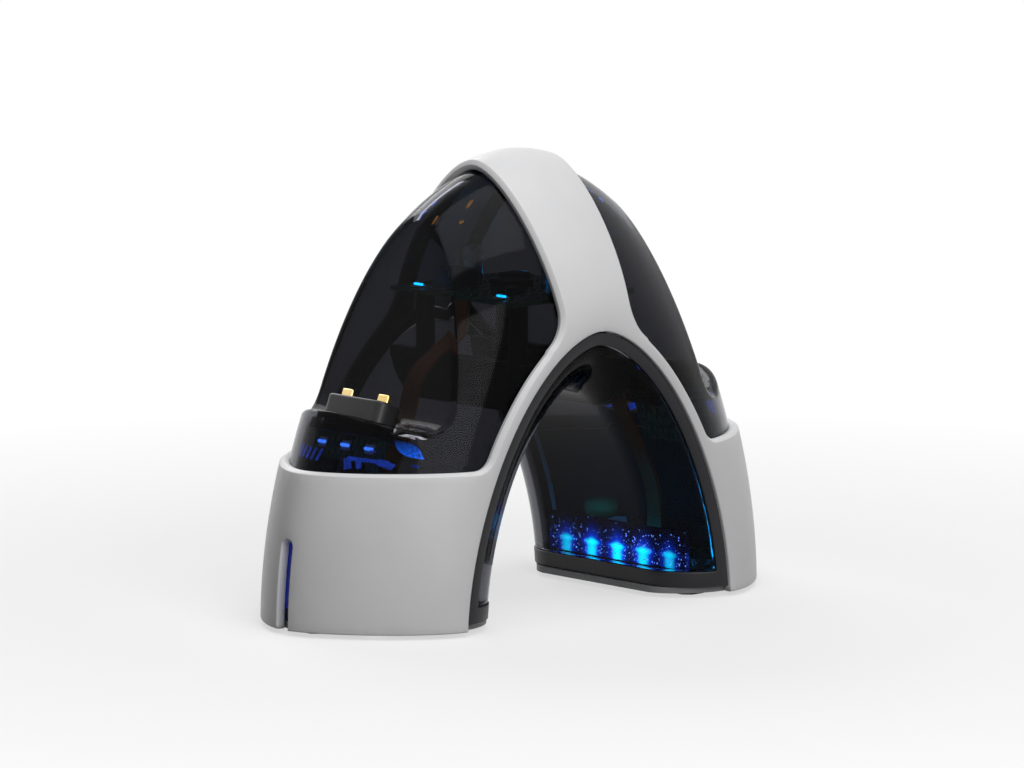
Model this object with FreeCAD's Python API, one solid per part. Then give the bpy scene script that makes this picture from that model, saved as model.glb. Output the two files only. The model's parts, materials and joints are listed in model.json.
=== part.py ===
import FreeCAD, Part
import math
import os

Vector = FreeCAD.Vector

# All sizes are millimetres. X runs from foot to foot, Y runs through the tunnel, Z is up.
# The ground is z = 0 and the dock is centred on X and Y.

# Overall arch
LENGTH = 160.0
WIDTH = 70.0
HEIGHT = 120.0
OUTER_POWER = 1.9          # 2 would make the outer arch an ellipse
TUNNEL_WIDTH = 93.0        # between the tunnel's edges at the ground
TUNNEL_HEIGHT = 75.0       # up to the edges of the tunnel's roof
TUNNEL_POWER = 1.71        # below 2, so the tunnel's edge is a little pointed
TUNNEL_BULGE = 16.0        # how far the lining swells into the tunnel
OUTER_FULLNESS = 0.373     # Bezier handle of the outer section, a share of each half axis
LINING_FLAT = 20.0         # half of the lining's flat middle
LINING_FULLNESS = 0.6      # Bezier handle of the lining's rounded sides
OUTER_SPAN_COUNT = 48      # spans of the outer surfaces round the arch
LINING_SPAN_COUNT = 18     # spans of the tunnel's lining
HIDDEN_FLAT_COUNT = 5      # flats in place of each curve that the shell or a cradle hides
BACK_FLAT_COUNT = 2        # and on the back of the lining

# White shell
SHELL_WALL = 2.5
GROUND_GAP = 1.2           # the shell's lower edge above the table
RIM_HEIGHT = 42.5          # top of each foot's round wall
RIM_CORNER = 5.0
STRIP_WIDTH = 4.0          # white strip beside the tunnel's edge
BAND_TOP_HALF = 14.2       # half the band over the crown, at its top
BAND_NECK_HALF = 12.0      # and where it runs into the strips
NECK_CORNER = 12.0
OPENING_SPAN_COUNT = 6     # spans of the curve that trims the strip
SLOT_WIDTH = 4.2           # light slot in the middle of each foot
SLOT_HEIGHT = 24.7
BOSS_RADIUS = 3.4
BOSS_HEIGHT = 14.0

# Smoked cradles, one on each side
CRADLE_WALL = 2.0
CRADLE_TUCK = 4.0          # how far a cradle runs on behind the rim and the band
LIP_HEIGHT = 57.5          # outer edge of the seat
SEAT_DEPTH = 20.0          # from the lip in to the seat's corner
SEAT_DROP = 7.5            # the corner below the lip
SEAT_CORNER = 7.0
BROW_HEIGHT = 104.5        # where the back wall comes out at the crown

# Tunnel frame and its smoked window
FRAME_REVEAL = 0.6         # frame set in from the shell's edge
FRAME_GAP = 0.3            # fine joint between the shell's edge and the frame
FRAME_WALL = 2.2
FRAME_BORDER = 3.2
SILL_HEIGHT = 7.0
LEDGE_WALL = 1.8           # ledge behind the window
LEDGE_WIDTH = 2.5
WINDOW_SINK = 0.3

# Base plates, pads and screws
PLATE_THICKNESS = 1.6
PLATE_PROUD = 0.8          # the plate's edge past the frame, on the tunnel side
PAD_LENGTH = 12.0          # pads cut from sheet, with clipped corners
PAD_WIDTH = 8.0
PAD_CLIP = 2.0
PAD_SINK = 0.6
SCREW_RADIUS = 1.3
SCREW_LENGTH = 9.0
SCREW_HEAD_RADIUS = 2.6
SCREW_HEAD_DEPTH = 1.0
SCREW_PLAY = 0.05

# Lamp boards low in the feet
BOARD_THICKNESS = 1.2
BOARD_LIFT = 2.8           # board above its base plate
LAMP_BOARD_GAP = 3.5       # board in from the frame
LAMP_BOARD_DEPTH = 16.0
LAMP_BOARD_SIDE = 12.0      # in from the sides of the foot
LAMP_TONGUE_WIDTH = 10.0
POST_SIZE = 4.0
LAMP_COUNT = 5
LAMP_PITCH = 10.0
LAMP_LENGTH = 3.5
LAMP_DEPTH = 2.8
LAMP_HEIGHT = 1.9
PIPE_WIDTH = 8.0           # light pipe behind each slot
PIPE_DEPTH = 2.6
PIPE_FOOT = 6.6            # height of the pipe's lower end
PIPE_OVERLAP = 3.0

# Power inlet in the rear of the right foot
INLET_INSET = 7.5          # inlet out from the tunnel's edge
INLET_WIDTH = 8.9
INLET_HEIGHT = 3.2
INLET_LENGTH = 8.0
INLET_WALL = 0.35
INLET_SINK = 0.6           # its mouth in from the foot's wall
TONGUE_WIDTH = 6.6
TONGUE_HEIGHT = 0.8
RECESS_WIDTH = 13.0
RECESS_HEIGHT = 7.6
INLET_LAND = 2.0           # wall left round the inlet's mouth

# Charging connectors on the seats
NUB_PLACE = 0.36           # along the seat, from its inner corner
NUB_WIDTH = 22.0
NUB_DEPTH = 8.0
NUB_HEIGHT = 6.0
NUB_CORNER = 2.5
FLANGE_WIDTH = 26.0
FLANGE_DEPTH = 11.0
FLANGE_THICKNESS = 2.0
CONTACT_SPACING = 14.0
CONTACT_WIDTH = 4.0
CONTACT_THICKNESS = 1.2
CONTACT_REACH = 2.2        # contact above the nub
CONTACT_TAIL = 6.0         # contact below the flange
CHARGE_BOARD_WIDTH = 28.0
CHARGE_BOARD_HEIGHT = 14.0

# Main board in the crown
MAIN_BOARD_PLACE = 7 / 45   # up from the tunnel's edges, a share of the arch's depth at the crown
MAIN_BOARD_LENGTH = 42.0
MAIN_BOARD_WIDTH = 48.0
MAIN_POST_X = 14.0
MAIN_POST_Y = 18.0
MAIN_POST_RADIUS = 2.5
RIB_TOP = 66.0             # webs across the frame, under the posts
RIB_THICKNESS = 3.0
RIB_GAP = 1.0              # webs clear of the window
CHIP_HEIGHT = 2.0
COIL_SIZE = 8.0
COIL_HEIGHT = 5.0
CAN_RADIUS = 3.2
CAN_HEIGHT = 9.0

# Flat cables up the legs, and clearances
CABLE_WIDTH = 6.0
CABLE_THICKNESS = 0.8
CABLE_INSET = 3.0          # in from the edges of the boards
CABLE_RISE = 18.0          # straight up from the lamp board
CABLE_CLEAR = 9.0          # inside the seat's corner
CABLE_KNEE = 0.25          # upper bend, a share of the way up the back wall
FIT = 0.2
REACH = 300.0              # cutters run past everything

half_length = LENGTH / 2
half_width = WIDTH / 2
plate_top = GROUND_GAP + PLATE_THICKNESS
lamp_board_half = half_width - LAMP_BOARD_SIDE
main_board_low = TUNNEL_HEIGHT + MAIN_BOARD_PLACE * (HEIGHT - TUNNEL_HEIGHT)


def superellipse(half_axis, height, power, angle):
    cosine = math.cos(angle)
    sine = math.sin(angle)
    across = math.copysign(abs(cosine) ** (2 / power), cosine)
    up = math.copysign(abs(sine) ** (2 / power), sine)
    return half_axis * across, height * up


def station(angle):
    """Edge point, outward direction and depth of the arch's section at one angle."""
    edge_x, edge_z = superellipse(TUNNEL_WIDTH / 2, TUNNEL_HEIGHT, TUNNEL_POWER, angle)
    out_x, out_z = superellipse(half_length, HEIGHT, OUTER_POWER, angle)
    depth = math.hypot(out_x - edge_x, out_z - edge_z)
    outward = ((out_x - edge_x) / depth, (out_z - edge_z) / depth)
    return (edge_x, edge_z), outward, depth


def place(at, across, out):
    (edge_x, edge_z), (out_x, out_z), depth = at
    return Vector(edge_x + out * out_x, across, edge_z + out * out_z)


def bezier(points, flats=0):
    """Curve on its control points as a list of edges, or as straight flats where it is out of sight."""
    curve = Part.BezierCurve()
    curve.setPoles(points)
    if not flats:
        return [curve.toShape()]
    stops = [curve.value(step / flats) for step in range(flats + 1)]
    return [Part.makeLine(start, end) for start, end in zip(stops, stops[1:])]


def half_oval(at, half, depth, close, flats):
    """Closed half oval over the edge line, with straight sides down to a closing line."""
    handle = OUTER_FULLNESS * depth
    edges = bezier([place(at, half, 0), place(at, half, handle),
                    place(at, OUTER_FULLNESS * half, depth), place(at, 0, depth)], flats)
    edges += bezier([place(at, 0, depth), place(at, -OUTER_FULLNESS * half, depth),
                     place(at, -half, handle), place(at, -half, 0)], flats)
    if close != 0:
        edges.insert(0, Part.makeLine(place(at, half, close), place(at, half, 0)))
        edges.append(Part.makeLine(place(at, -half, 0), place(at, -half, close)))
    edges.append(Part.makeLine(place(at, -half, close), place(at, half, close)))
    return Part.Wire(edges)


def lining_section(at, half, depth, close, flats):
    """Closed section of the tunnel's lining: a flat middle with rounded sides, then a closing line."""
    start = -FRAME_GAP
    handle = start - LINING_FULLNESS * (depth + start)
    bend = LINING_FLAT + (1 - LINING_FULLNESS) * (half - LINING_FLAT)
    edges = bezier([place(at, half, start), place(at, half, handle),
                    place(at, bend, -depth), place(at, LINING_FLAT, -depth)], flats)
    edges.append(Part.makeLine(place(at, LINING_FLAT, -depth), place(at, -LINING_FLAT, -depth)))
    edges += bezier([place(at, -LINING_FLAT, -depth), place(at, -bend, -depth),
                     place(at, -half, handle), place(at, -half, start)], flats)
    if close != start:
        edges.insert(0, Part.makeLine(place(at, half, close), place(at, half, start)))
        edges.append(Part.makeLine(place(at, -half, start), place(at, -half, close)))
    edges.append(Part.makeLine(place(at, -half, close), place(at, half, close)))
    return Part.Wire(edges)


def arch(section, spans):
    """Ruled loft round the arch, from one span below the ground to one below it on the other side."""
    angles = [math.pi * step / spans for step in range(-1, spans + 2)]
    return Part.makeLoft([section(station(angle)) for angle in angles], True, True)


def outer_body(inset, close, flats=0):
    """The arch outside the tunnel's edges, drawn in by an inset."""
    half = half_width - inset
    return arch(lambda at: half_oval(at, half, at[2] - inset, close, flats), OUTER_SPAN_COUNT)


def inner_body(inset, close, flats=0):
    """The arch inside the tunnel's edges, drawn back by an inset."""
    half = half_width - FRAME_REVEAL - inset
    return arch(lambda at: lining_section(at, half, TUNNEL_BULGE - inset, close, flats), LINING_SPAN_COUNT)


def box(x_range, y_range, z_range):
    size = [high - low for low, high in (x_range, y_range, z_range)]
    return Part.makeBox(*size, Vector(x_range[0], y_range[0], z_range[0]))


def middle_box(length, width, height, centre, foot):
    x, y = centre
    return box((x - length / 2, x + length / 2), (y - width / 2, y + width / 2), (foot, foot + height))


def prism(edges):
    """Solid through the whole width, on an outline in the XZ plane."""
    face = Part.Face(Part.Wire(edges))
    face.translate(Vector(0, -REACH / 2, 0))
    return face.extrude(Vector(0, REACH, 0))


def outline(points):
    return [Part.makeLine(start, end) for start, end in zip(points, points[1:] + points[:1])]


def round_prism(solid, corner, radius):
    """Rounds the edge of a prism that runs along Y through a corner."""
    edges = []
    for edge in solid.Edges:
        first, last = edge.Vertexes[0].Point, edge.Vertexes[-1].Point
        at_corner = math.hypot(first.x - corner.x, first.z - corner.z) < 0.01
        if at_corner and abs(first.y - last.y) > REACH / 2:
            edges.append(edge)
    return solid.makeFillet(radius, edges)


def turned(shape):
    """The same piece on the left side."""
    copy = shape.copy()
    copy.rotate(Vector(0, 0, 0), Vector(0, 0, 1), 180)
    return copy


def solve(low, high, error):
    """Value where an error that falls from low to high crosses zero."""
    for step in range(50):
        middle = (low + high) / 2
        if error(middle) > 0:
            low = middle
        else:
            high = middle
    return (low + high) / 2


def outer_x(height, inset):
    """Half length of the outer arch at a height, drawn in by an inset."""
    share = (height / (HEIGHT - inset)) ** OUTER_POWER
    return (half_length - inset) * (1 - share) ** (1 / OUTER_POWER)


def side_opening():
    """Cutter between the band, the strip along the tunnel and the foot's rim."""
    def strip(angle):
        return place(station(angle), 0, STRIP_WIDTH)
    neck_angle = solve(0, math.pi / 2, lambda angle: strip(angle).x - BAND_NECK_HALF)
    rim_angle = solve(0, math.pi / 2, lambda angle: RIM_HEIGHT - strip(angle).z)
    step = (rim_angle - neck_angle) / OPENING_SPAN_COUNT
    curve = Part.BSplineCurve()
    curve.interpolate([strip(neck_angle + step * k) for k in range(OPENING_SPAN_COUNT + 1)])
    neck = strip(neck_angle)
    rim = strip(rim_angle)
    slope = (BAND_TOP_HALF - BAND_NECK_HALF) / (HEIGHT - neck.z)
    top_z = HEIGHT + SHELL_WALL
    top = Vector(BAND_NECK_HALF + slope * (top_z - neck.z), 0, top_z)
    far_x = LENGTH
    edges = [Part.makeLine(top, neck), curve.toShape()]
    edges.append(Part.makeLine(rim, Vector(far_x, 0, rim.z)))
    edges.append(Part.makeLine(Vector(far_x, 0, rim.z), Vector(far_x, 0, top_z)))
    edges.append(Part.makeLine(Vector(far_x, 0, top_z), top))
    cutter = round_prism(prism(edges), neck, NECK_CORNER)
    return round_prism(cutter, rim, RIM_CORNER)


def seat_frame():
    """Inner corner of the seat with the directions along the seat and up the back wall."""
    skin = SHELL_WALL + FIT
    lip = Vector(outer_x(LIP_HEIGHT, skin), 0, LIP_HEIGHT)
    corner = lip - Vector(SEAT_DEPTH, 0, SEAT_DROP)
    brow = Vector(outer_x(BROW_HEIGHT, skin), 0, BROW_HEIGHT)
    return corner, (lip - corner), (brow - corner)


def pocket(grow):
    """The room over the seat, grown by a wall on the seat and the back."""
    corner, seat, back = seat_frame()
    seat_way = Vector(seat).normalize()
    back_way = Vector(back).normalize()
    corner_angle = seat_way.getAngle(back_way)
    shift = (seat_way + back_way) * (grow / math.sin(corner_angle))
    start = corner - shift
    seat_end = start + seat_way * LENGTH
    back_end = start + back_way * LENGTH
    cutter = prism(outline([start, seat_end, seat_end + back_way * LENGTH, back_end]))
    return round_prism(cutter, start, SEAT_CORNER + grow)


def foot_curve(inset):
    """One half of the foot's wall seen from above, from the tunnel's edge to its outer end."""
    half = half_width - inset
    depth = half_length - TUNNEL_WIDTH / 2 - inset
    edge = TUNNEL_WIDTH / 2
    curve = Part.BezierCurve()
    curve.setPoles([Vector(edge, half, 0), Vector(edge + OUTER_FULLNESS * depth, half, 0),
                    Vector(edge + depth, OUTER_FULLNESS * half, 0), Vector(edge + depth, 0, 0)])
    return curve


def inlet_centre():
    """Middle of the inlet's mouth."""
    x = TUNNEL_WIDTH / 2 + INLET_INSET
    wall = foot_curve(0)
    share = solve(0, 1, lambda u: x + INLET_WIDTH / 2 - wall.value(u).x)
    y = wall.value(share).y - INLET_SINK
    return Vector(x, y, plate_top + BOARD_LIFT + BOARD_THICKNESS + INLET_HEIGHT / 2)


def stadium(width, height, low_y, high_y):
    """Round-ended bar along Y on the inlet's centre line."""
    centre = inlet_centre()
    radius = height / 2
    reach = width / 2 - radius
    length = high_y - low_y
    bar = box((centre.x - reach, centre.x + reach), (low_y, high_y), (centre.z - radius, centre.z + radius))
    for side in (-1, 1):
        end = Vector(centre.x + side * reach, low_y, centre.z)
        bar = bar.fuse(Part.makeCylinder(radius, length, end, Vector(0, 1, 0)))
    return bar.removeSplitter()


def screw_places():
    """Screw centres on the right foot, beside the middle of each half of its wall."""
    wall = foot_curve(SHELL_WALL)
    along = wall.tangent(0.5)[0]
    centre = wall.value(0.5) + Vector(along.y, -along.x, 0) * (SCREW_HEAD_RADIUS + 2 * FIT)
    return [(centre.x, -centre.y), (centre.x, centre.y)]


def make_outer_shell():
    skin = outer_body(0, 0)
    hollow = outer_body(SHELL_WALL, -TUNNEL_BULGE)
    shell = skin.cut(hollow)
    opening = side_opening()
    shell = shell.cut(opening).cut(turned(opening))
    slot_round = SLOT_HEIGHT - SLOT_WIDTH / 2
    slot = box((half_length - 3 * SHELL_WALL, LENGTH), (-SLOT_WIDTH / 2, SLOT_WIDTH / 2), (0, slot_round))
    slot_end = Vector(half_length - 3 * SHELL_WALL, 0, slot_round)
    slot = slot.fuse(Part.makeCylinder(SLOT_WIDTH / 2, LENGTH, slot_end, Vector(1, 0, 0)))
    shell = shell.cut(slot).cut(turned(slot))
    bosses = []
    for x, y in screw_places():
        bosses.append(Part.makeCylinder(BOSS_RADIUS, BOSS_HEIGHT - plate_top, Vector(x, y, plate_top)))
    right_bosses = bosses[0].fuse(bosses[1]).common(skin)
    shell = shell.fuse(right_bosses).fuse(turned(right_bosses))
    for x, y in screw_places():
        hole_top = GROUND_GAP + SCREW_LENGTH + 5 * FIT
        hole = Part.makeCylinder(SCREW_RADIUS + SCREW_PLAY, hole_top, Vector(x, y, 0))
        shell = shell.cut(hole).cut(turned(hole))
    centre = inlet_centre()
    land_y = centre.y + FIT
    block = stadium(RECESS_WIDTH + 2 * SHELL_WALL, RECESS_HEIGHT + SHELL_WALL, land_y - INLET_LAND, half_width)
    shell = shell.fuse(block.common(skin))
    shell = shell.cut(stadium(RECESS_WIDTH, RECESS_HEIGHT, land_y, WIDTH))
    shell = shell.cut(stadium(INLET_WIDTH + 2 * FIT, INLET_HEIGHT + 2 * FIT, centre.y - INLET_LENGTH, WIDTH))
    shell = shell.cut(box((-REACH, REACH), (-REACH, REACH), (-REACH, GROUND_GAP)))
    return shell.removeSplitter()


def make_cradle():
    skin = SHELL_WALL + FIT
    outside = outer_body(skin, 0).cut(pocket(0))
    inside = outer_body(skin + CRADLE_WALL, -TUNNEL_BULGE, HIDDEN_FLAT_COUNT).cut(pocket(CRADLE_WALL))
    keep = box((BAND_NECK_HALF - CRADLE_TUCK, LENGTH), (-WIDTH, WIDTH), (RIM_HEIGHT - CRADLE_TUCK, HEIGHT))
    cradle = outside.cut(inside).common(keep)
    hole = nub_block(NUB_WIDTH + 2 * FIT, NUB_DEPTH + 2 * FIT, -SEAT_CORNER, SEAT_CORNER, NUB_CORNER + FIT)
    return cradle.cut(on_seat(hole))


def on_seat(shape):
    """Moves a piece drawn at the origin, z along the nub, to the middle of the right seat."""
    corner, seat, back = seat_frame()
    tilt = math.degrees(math.atan2(seat.z, seat.x))
    copy = shape.copy()
    copy.rotate(Vector(0, 0, 0), Vector(0, 1, 0), -tilt)
    copy.translate(corner + seat * NUB_PLACE)
    return copy


def nub_block(width, depth, low, high, corner):
    block = box((-depth / 2, depth / 2), (-width / 2, width / 2), (low, high))
    upright = [edge for edge in block.Edges if abs(edge.tangentAt(edge.FirstParameter).z) > 0.9]
    return block.makeFillet(corner, upright)


def contact_blades(grow):
    top = NUB_HEIGHT + CONTACT_REACH
    low = -CRADLE_WALL - FLANGE_THICKNESS - CONTACT_TAIL
    thick = CONTACT_THICKNESS / 2 + grow
    wide = CONTACT_WIDTH / 2 + grow
    blades = []
    for side in (-1, 1):
        y = side * CONTACT_SPACING / 2
        blades.append(box((-thick, thick), (y - wide, y + wide), (low, top)))
    return Part.makeCompound(blades)


def make_connector():
    nub = nub_block(NUB_WIDTH, NUB_DEPTH, -CRADLE_WALL, NUB_HEIGHT, NUB_CORNER)
    low = -CRADLE_WALL - FLANGE_THICKNESS
    flange = box((-FLANGE_DEPTH / 2, FLANGE_DEPTH / 2), (-FLANGE_WIDTH / 2, FLANGE_WIDTH / 2), (low, -CRADLE_WALL))
    block = nub.fuse(flange).removeSplitter()
    return on_seat(block.cut(contact_blades(0)))


def make_contacts():
    return on_seat(contact_blades(0))


def charge_board_face():
    """Outer face of the charge board, across the nub."""
    return CONTACT_THICKNESS / 2 + BOARD_THICKNESS


def make_charge_board():
    top = -CRADLE_WALL - FLANGE_THICKNESS
    half = CHARGE_BOARD_WIDTH / 2
    board = box((CONTACT_THICKNESS / 2, charge_board_face()), (-half, half), (top - CHARGE_BOARD_HEIGHT, top))
    return on_seat(board)


def make_charge_lamps():
    face = charge_board_face()
    top = -CRADLE_WALL - FLANGE_THICKNESS - LAMP_DEPTH / 2
    lamps = []
    for step in (-1, 0, 1):
        y = step * CHARGE_BOARD_WIDTH / 3
        y_range = (y - LAMP_LENGTH / 2, y + LAMP_LENGTH / 2)
        lamps.append(box((face, face + LAMP_HEIGHT), y_range, (top - LAMP_DEPTH, top)))
    return on_seat(Part.makeCompound(lamps))


def make_charge_chips():
    face = charge_board_face()
    low = -CRADLE_WALL - FLANGE_THICKNESS - CHARGE_BOARD_HEIGHT * 0.9
    chips = []
    for side in (-1, 1):
        y = side * CHARGE_BOARD_WIDTH / 6
        y_range = (y - COIL_SIZE / 2, y + COIL_SIZE / 2)
        chips.append(box((face, face + CHIP_HEIGHT), y_range, (low, low + CHARGE_BOARD_HEIGHT * 0.4)))
    return on_seat(Part.makeCompound(chips))


def window_half():
    return half_width - FRAME_REVEAL - FRAME_BORDER


def make_tunnel_frame():
    body = inner_body(0, -FRAME_GAP)
    behind_window = inner_body(FRAME_WALL, TUNNEL_BULGE, BACK_FLAT_COUNT)
    behind_ledge = inner_body(FRAME_WALL + LEDGE_WALL, TUNNEL_BULGE, BACK_FLAT_COUNT)
    frame = body.cut(behind_ledge)
    half = window_half()
    sight = box((-LENGTH, LENGTH), (-half, half), (SILL_HEIGHT, HEIGHT))
    frame = frame.cut(sight.cut(behind_window))
    inner_half = half - LEDGE_WIDTH
    through = box((-LENGTH, LENGTH), (-inner_half, inner_half), (SILL_HEIGHT + LEDGE_WIDTH, HEIGHT))
    frame = frame.cut(through)
    over_window = inner_body(FRAME_WALL + RIB_GAP, HEIGHT, BACK_FLAT_COUNT)
    for side_x in (-1, 1):
        x = side_x * MAIN_POST_X
        rib = middle_box(RIB_THICKNESS, 2 * half, RIB_TOP, (x, 0), 0)
        frame = frame.fuse(rib.common(over_window))
        for side_y in (-1, 1):
            foot = Vector(x, side_y * MAIN_POST_Y, RIB_TOP - MAIN_POST_RADIUS)
            post_height = main_board_low - foot.z
            frame = frame.fuse(Part.makeCylinder(MAIN_POST_RADIUS, post_height, foot))
    return frame.cut(box((-REACH, REACH), (-REACH, REACH), (-REACH, plate_top))).removeSplitter()


def make_tunnel_window():
    pane = inner_body(WINDOW_SINK, -FRAME_GAP)
    pane = pane.cut(inner_body(FRAME_WALL, TUNNEL_BULGE, BACK_FLAT_COUNT))
    half = window_half() - FIT
    return pane.common(box((-LENGTH, LENGTH), (-half, half), (SILL_HEIGHT + FIT, HEIGHT)))


def foot_plan():
    """Outline of one base plate, round in the shell and proud of the frame."""
    edge_x = TUNNEL_WIDTH / 2
    half = half_width - SHELL_WALL - FIT
    reach = half_length - edge_x - SHELL_WALL - FIT
    swell = TUNNEL_BULGE + PLATE_PROUD
    edges = []
    bend = LINING_FLAT + (1 - LINING_FULLNESS) * (half - LINING_FLAT)
    for side in (-1, 1):
        outer = [(edge_x, side * half), (edge_x + OUTER_FULLNESS * reach, side * half)]
        outer += [(edge_x + reach, side * OUTER_FULLNESS * half), (edge_x + reach, 0)]
        inner = [(edge_x, side * half), (edge_x - LINING_FULLNESS * swell, side * half)]
        inner += [(edge_x - swell, side * bend), (edge_x - swell, side * LINING_FLAT)]
        edges += bezier([Vector(x, y, GROUND_GAP) for x, y in outer], HIDDEN_FLAT_COUNT)
        edges += bezier([Vector(x, y, GROUND_GAP) for x, y in inner])
    ends = [Vector(edge_x - swell, side * LINING_FLAT, GROUND_GAP) for side in (-1, 1)]
    edges.append(Part.makeLine(*ends))
    return Part.Wire(Part.__sortEdges__(edges))


def pad_places():
    inner = TUNNEL_WIDTH / 2 - PAD_WIDTH / 2
    outer = half_length - SHELL_WALL - PAD_WIDTH
    side = half_width - SHELL_WALL - PAD_LENGTH
    return [(inner, -side), (inner, side), (outer, 0)]


def pad_block(x, y, low, high, grow):
    """Clipped bar along Y, for a pad or the recess that takes it."""
    wide = PAD_WIDTH / 2 + grow
    long = PAD_LENGTH / 2 + grow
    corners = []
    for turn_x, turn_y in ((1, 1), (-1, 1), (-1, -1), (1, -1)):
        clips = [(wide, long - PAD_CLIP), (wide - PAD_CLIP, long)]
        if turn_x * turn_y < 0:
            clips.reverse()
        corners += [Vector(x + turn_x * across, y + turn_y * along, low) for across, along in clips]
    return Part.Face(Part.Wire(outline(corners))).extrude(Vector(0, 0, high - low))


def lamp_board_range():
    """Inner and outer X of the lamp board in the right foot."""
    inner = TUNNEL_WIDTH / 2 - TUNNEL_BULGE + FRAME_WALL + LEDGE_WALL + LAMP_BOARD_GAP
    return inner, inner + LAMP_BOARD_DEPTH


def pipe_back_x():
    return outer_x(SLOT_HEIGHT, SHELL_WALL) - PIPE_DEPTH


def lamp_posts():
    inner, outer = lamp_board_range()
    inset = POST_SIZE
    y = lamp_board_half - inset
    return [(x, side * y) for x in (inner + inset, outer - inset) for side in (-1, 1)]


def make_base_plate():
    plate = Part.Face(foot_plan()).extrude(Vector(0, 0, PLATE_THICKNESS))
    for x, y in lamp_posts():
        plate = plate.fuse(middle_box(POST_SIZE, POST_SIZE, BOARD_LIFT, (x, y), plate_top))
    back = pipe_back_x()
    seat = middle_box(PIPE_DEPTH, PIPE_WIDTH, PIPE_FOOT - plate_top, (back + PIPE_DEPTH / 2, 0), plate_top)
    plate = plate.fuse(seat).removeSplitter()
    for x, y in pad_places():
        plate = plate.cut(pad_block(x, y, GROUND_GAP, GROUND_GAP + PAD_SINK, FIT / 2))
    for x, y in screw_places():
        plate = plate.cut(Part.makeCylinder(SCREW_RADIUS + SCREW_PLAY, HEIGHT, Vector(x, y, 0)))
        head = Vector(x, y, GROUND_GAP)
        plate = plate.cut(Part.makeCylinder(SCREW_HEAD_RADIUS + FIT, SCREW_HEAD_DEPTH, head))
    return plate


def make_pad(x, y):
    return pad_block(x, y, 0, GROUND_GAP + PAD_SINK, 0)


def make_screws():
    screws = []
    for x, y in screw_places():
        foot = Vector(x, y, GROUND_GAP)
        head = Part.makeCylinder(SCREW_HEAD_RADIUS, SCREW_HEAD_DEPTH, foot)
        screw = head.fuse(Part.makeCylinder(SCREW_RADIUS, SCREW_LENGTH, foot)).removeSplitter()
        screws += [screw, turned(screw)]
    return Part.makeCompound(screws)


def make_lamp_board():
    inner, outer = lamp_board_range()
    low = plate_top + BOARD_LIFT
    half = lamp_board_half
    board = box((inner, outer), (-half, half), (low, low + BOARD_THICKNESS))
    tongue_end = pipe_back_x() - LAMP_HEIGHT
    half = LAMP_TONGUE_WIDTH / 2
    tongue = box((outer - 1, tongue_end), (-half, half), (low, low + BOARD_THICKNESS))
    return board.fuse(tongue).removeSplitter()


def make_lamps():
    """Row of lamps along the tunnel, and one that feeds the light pipe."""
    inner, outer = lamp_board_range()
    top = plate_top + BOARD_LIFT + BOARD_THICKNESS
    x = inner + LAMP_DEPTH
    lamps = []
    for step in range(LAMP_COUNT):
        y = (step - (LAMP_COUNT - 1) / 2) * LAMP_PITCH
        lamps.append(middle_box(LAMP_DEPTH, LAMP_LENGTH, LAMP_HEIGHT, (x, y), top))
    end = pipe_back_x() - LAMP_HEIGHT
    lamps.append(middle_box(LAMP_DEPTH, LAMP_LENGTH, LAMP_HEIGHT, (end - LAMP_DEPTH / 2, 0), top))
    return Part.makeCompound(lamps)


def make_light_pipe():
    back = pipe_back_x()
    half = PIPE_WIDTH / 2
    bar = box((back, LENGTH), (-half, half), (PIPE_FOOT, SLOT_HEIGHT + PIPE_OVERLAP))
    return bar.common(outer_body(SHELL_WALL + FIT / 2, 0))


def make_inlet():
    centre = inlet_centre()
    back = centre.y - INLET_LENGTH
    shell = stadium(INLET_WIDTH, INLET_HEIGHT, back, centre.y)
    inside = stadium(INLET_WIDTH - 2 * INLET_WALL, INLET_HEIGHT - 2 * INLET_WALL, back + INLET_LAND, WIDTH)
    return shell.cut(inside)


def make_inlet_tongue():
    centre = inlet_centre()
    back = centre.y - INLET_LENGTH + INLET_LAND
    half = TONGUE_WIDTH / 2
    z_range = (centre.z - TONGUE_HEIGHT / 2, centre.z + TONGUE_HEIGHT / 2)
    return box((centre.x - half, centre.x + half), (back, centre.y - 1), z_range)


def make_right_lamp_board():
    """The right lamp board has an ear under the power inlet."""
    inner, outer = lamp_board_range()
    centre = inlet_centre()
    low = plate_top + BOARD_LIFT
    y_range = (centre.y - INLET_LENGTH - INLET_LAND, centre.y - INLET_LAND - FIT)
    x_range = (outer - POST_SIZE, centre.x + INLET_WIDTH / 2 - 2 * FIT)
    ear = box(x_range, y_range, (low, low + BOARD_THICKNESS))
    return make_lamp_board().fuse(ear).removeSplitter()


def main_board_top():
    return main_board_low + BOARD_THICKNESS


def make_main_board():
    return middle_box(MAIN_BOARD_LENGTH, MAIN_BOARD_WIDTH, BOARD_THICKNESS, (0, 0), main_board_low)


def make_main_chips():
    """Control chip and two power stages."""
    top = main_board_top()
    quarter = MAIN_BOARD_LENGTH / 4
    chips = [middle_box(COIL_SIZE, COIL_SIZE, CHIP_HEIGHT, (0, 0), top)]
    for side in (-1, 1):
        chips.append(middle_box(COIL_SIZE * 0.8, COIL_SIZE * 0.6, CHIP_HEIGHT, (side * quarter, side * quarter), top))
    return Part.makeCompound(chips)


def make_main_coils():
    top = main_board_top()
    quarter = MAIN_BOARD_LENGTH / 4
    coils = [middle_box(COIL_SIZE, COIL_SIZE, COIL_HEIGHT, (side * quarter, -side * quarter), top) for side in (-1, 1)]
    return Part.makeCompound(coils)


def make_main_cans():
    top = main_board_top()
    x = MAIN_BOARD_LENGTH / 2 - 2 * CAN_RADIUS
    y = MAIN_BOARD_WIDTH / 2 - 2 * CAN_RADIUS
    cans = []
    for side in (-1, 1):
        cans.append(Part.makeCylinder(CAN_RADIUS, CAN_HEIGHT, Vector(side * x * 0.1, side * y, top)))
    return Part.makeCompound(cans)


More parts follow.
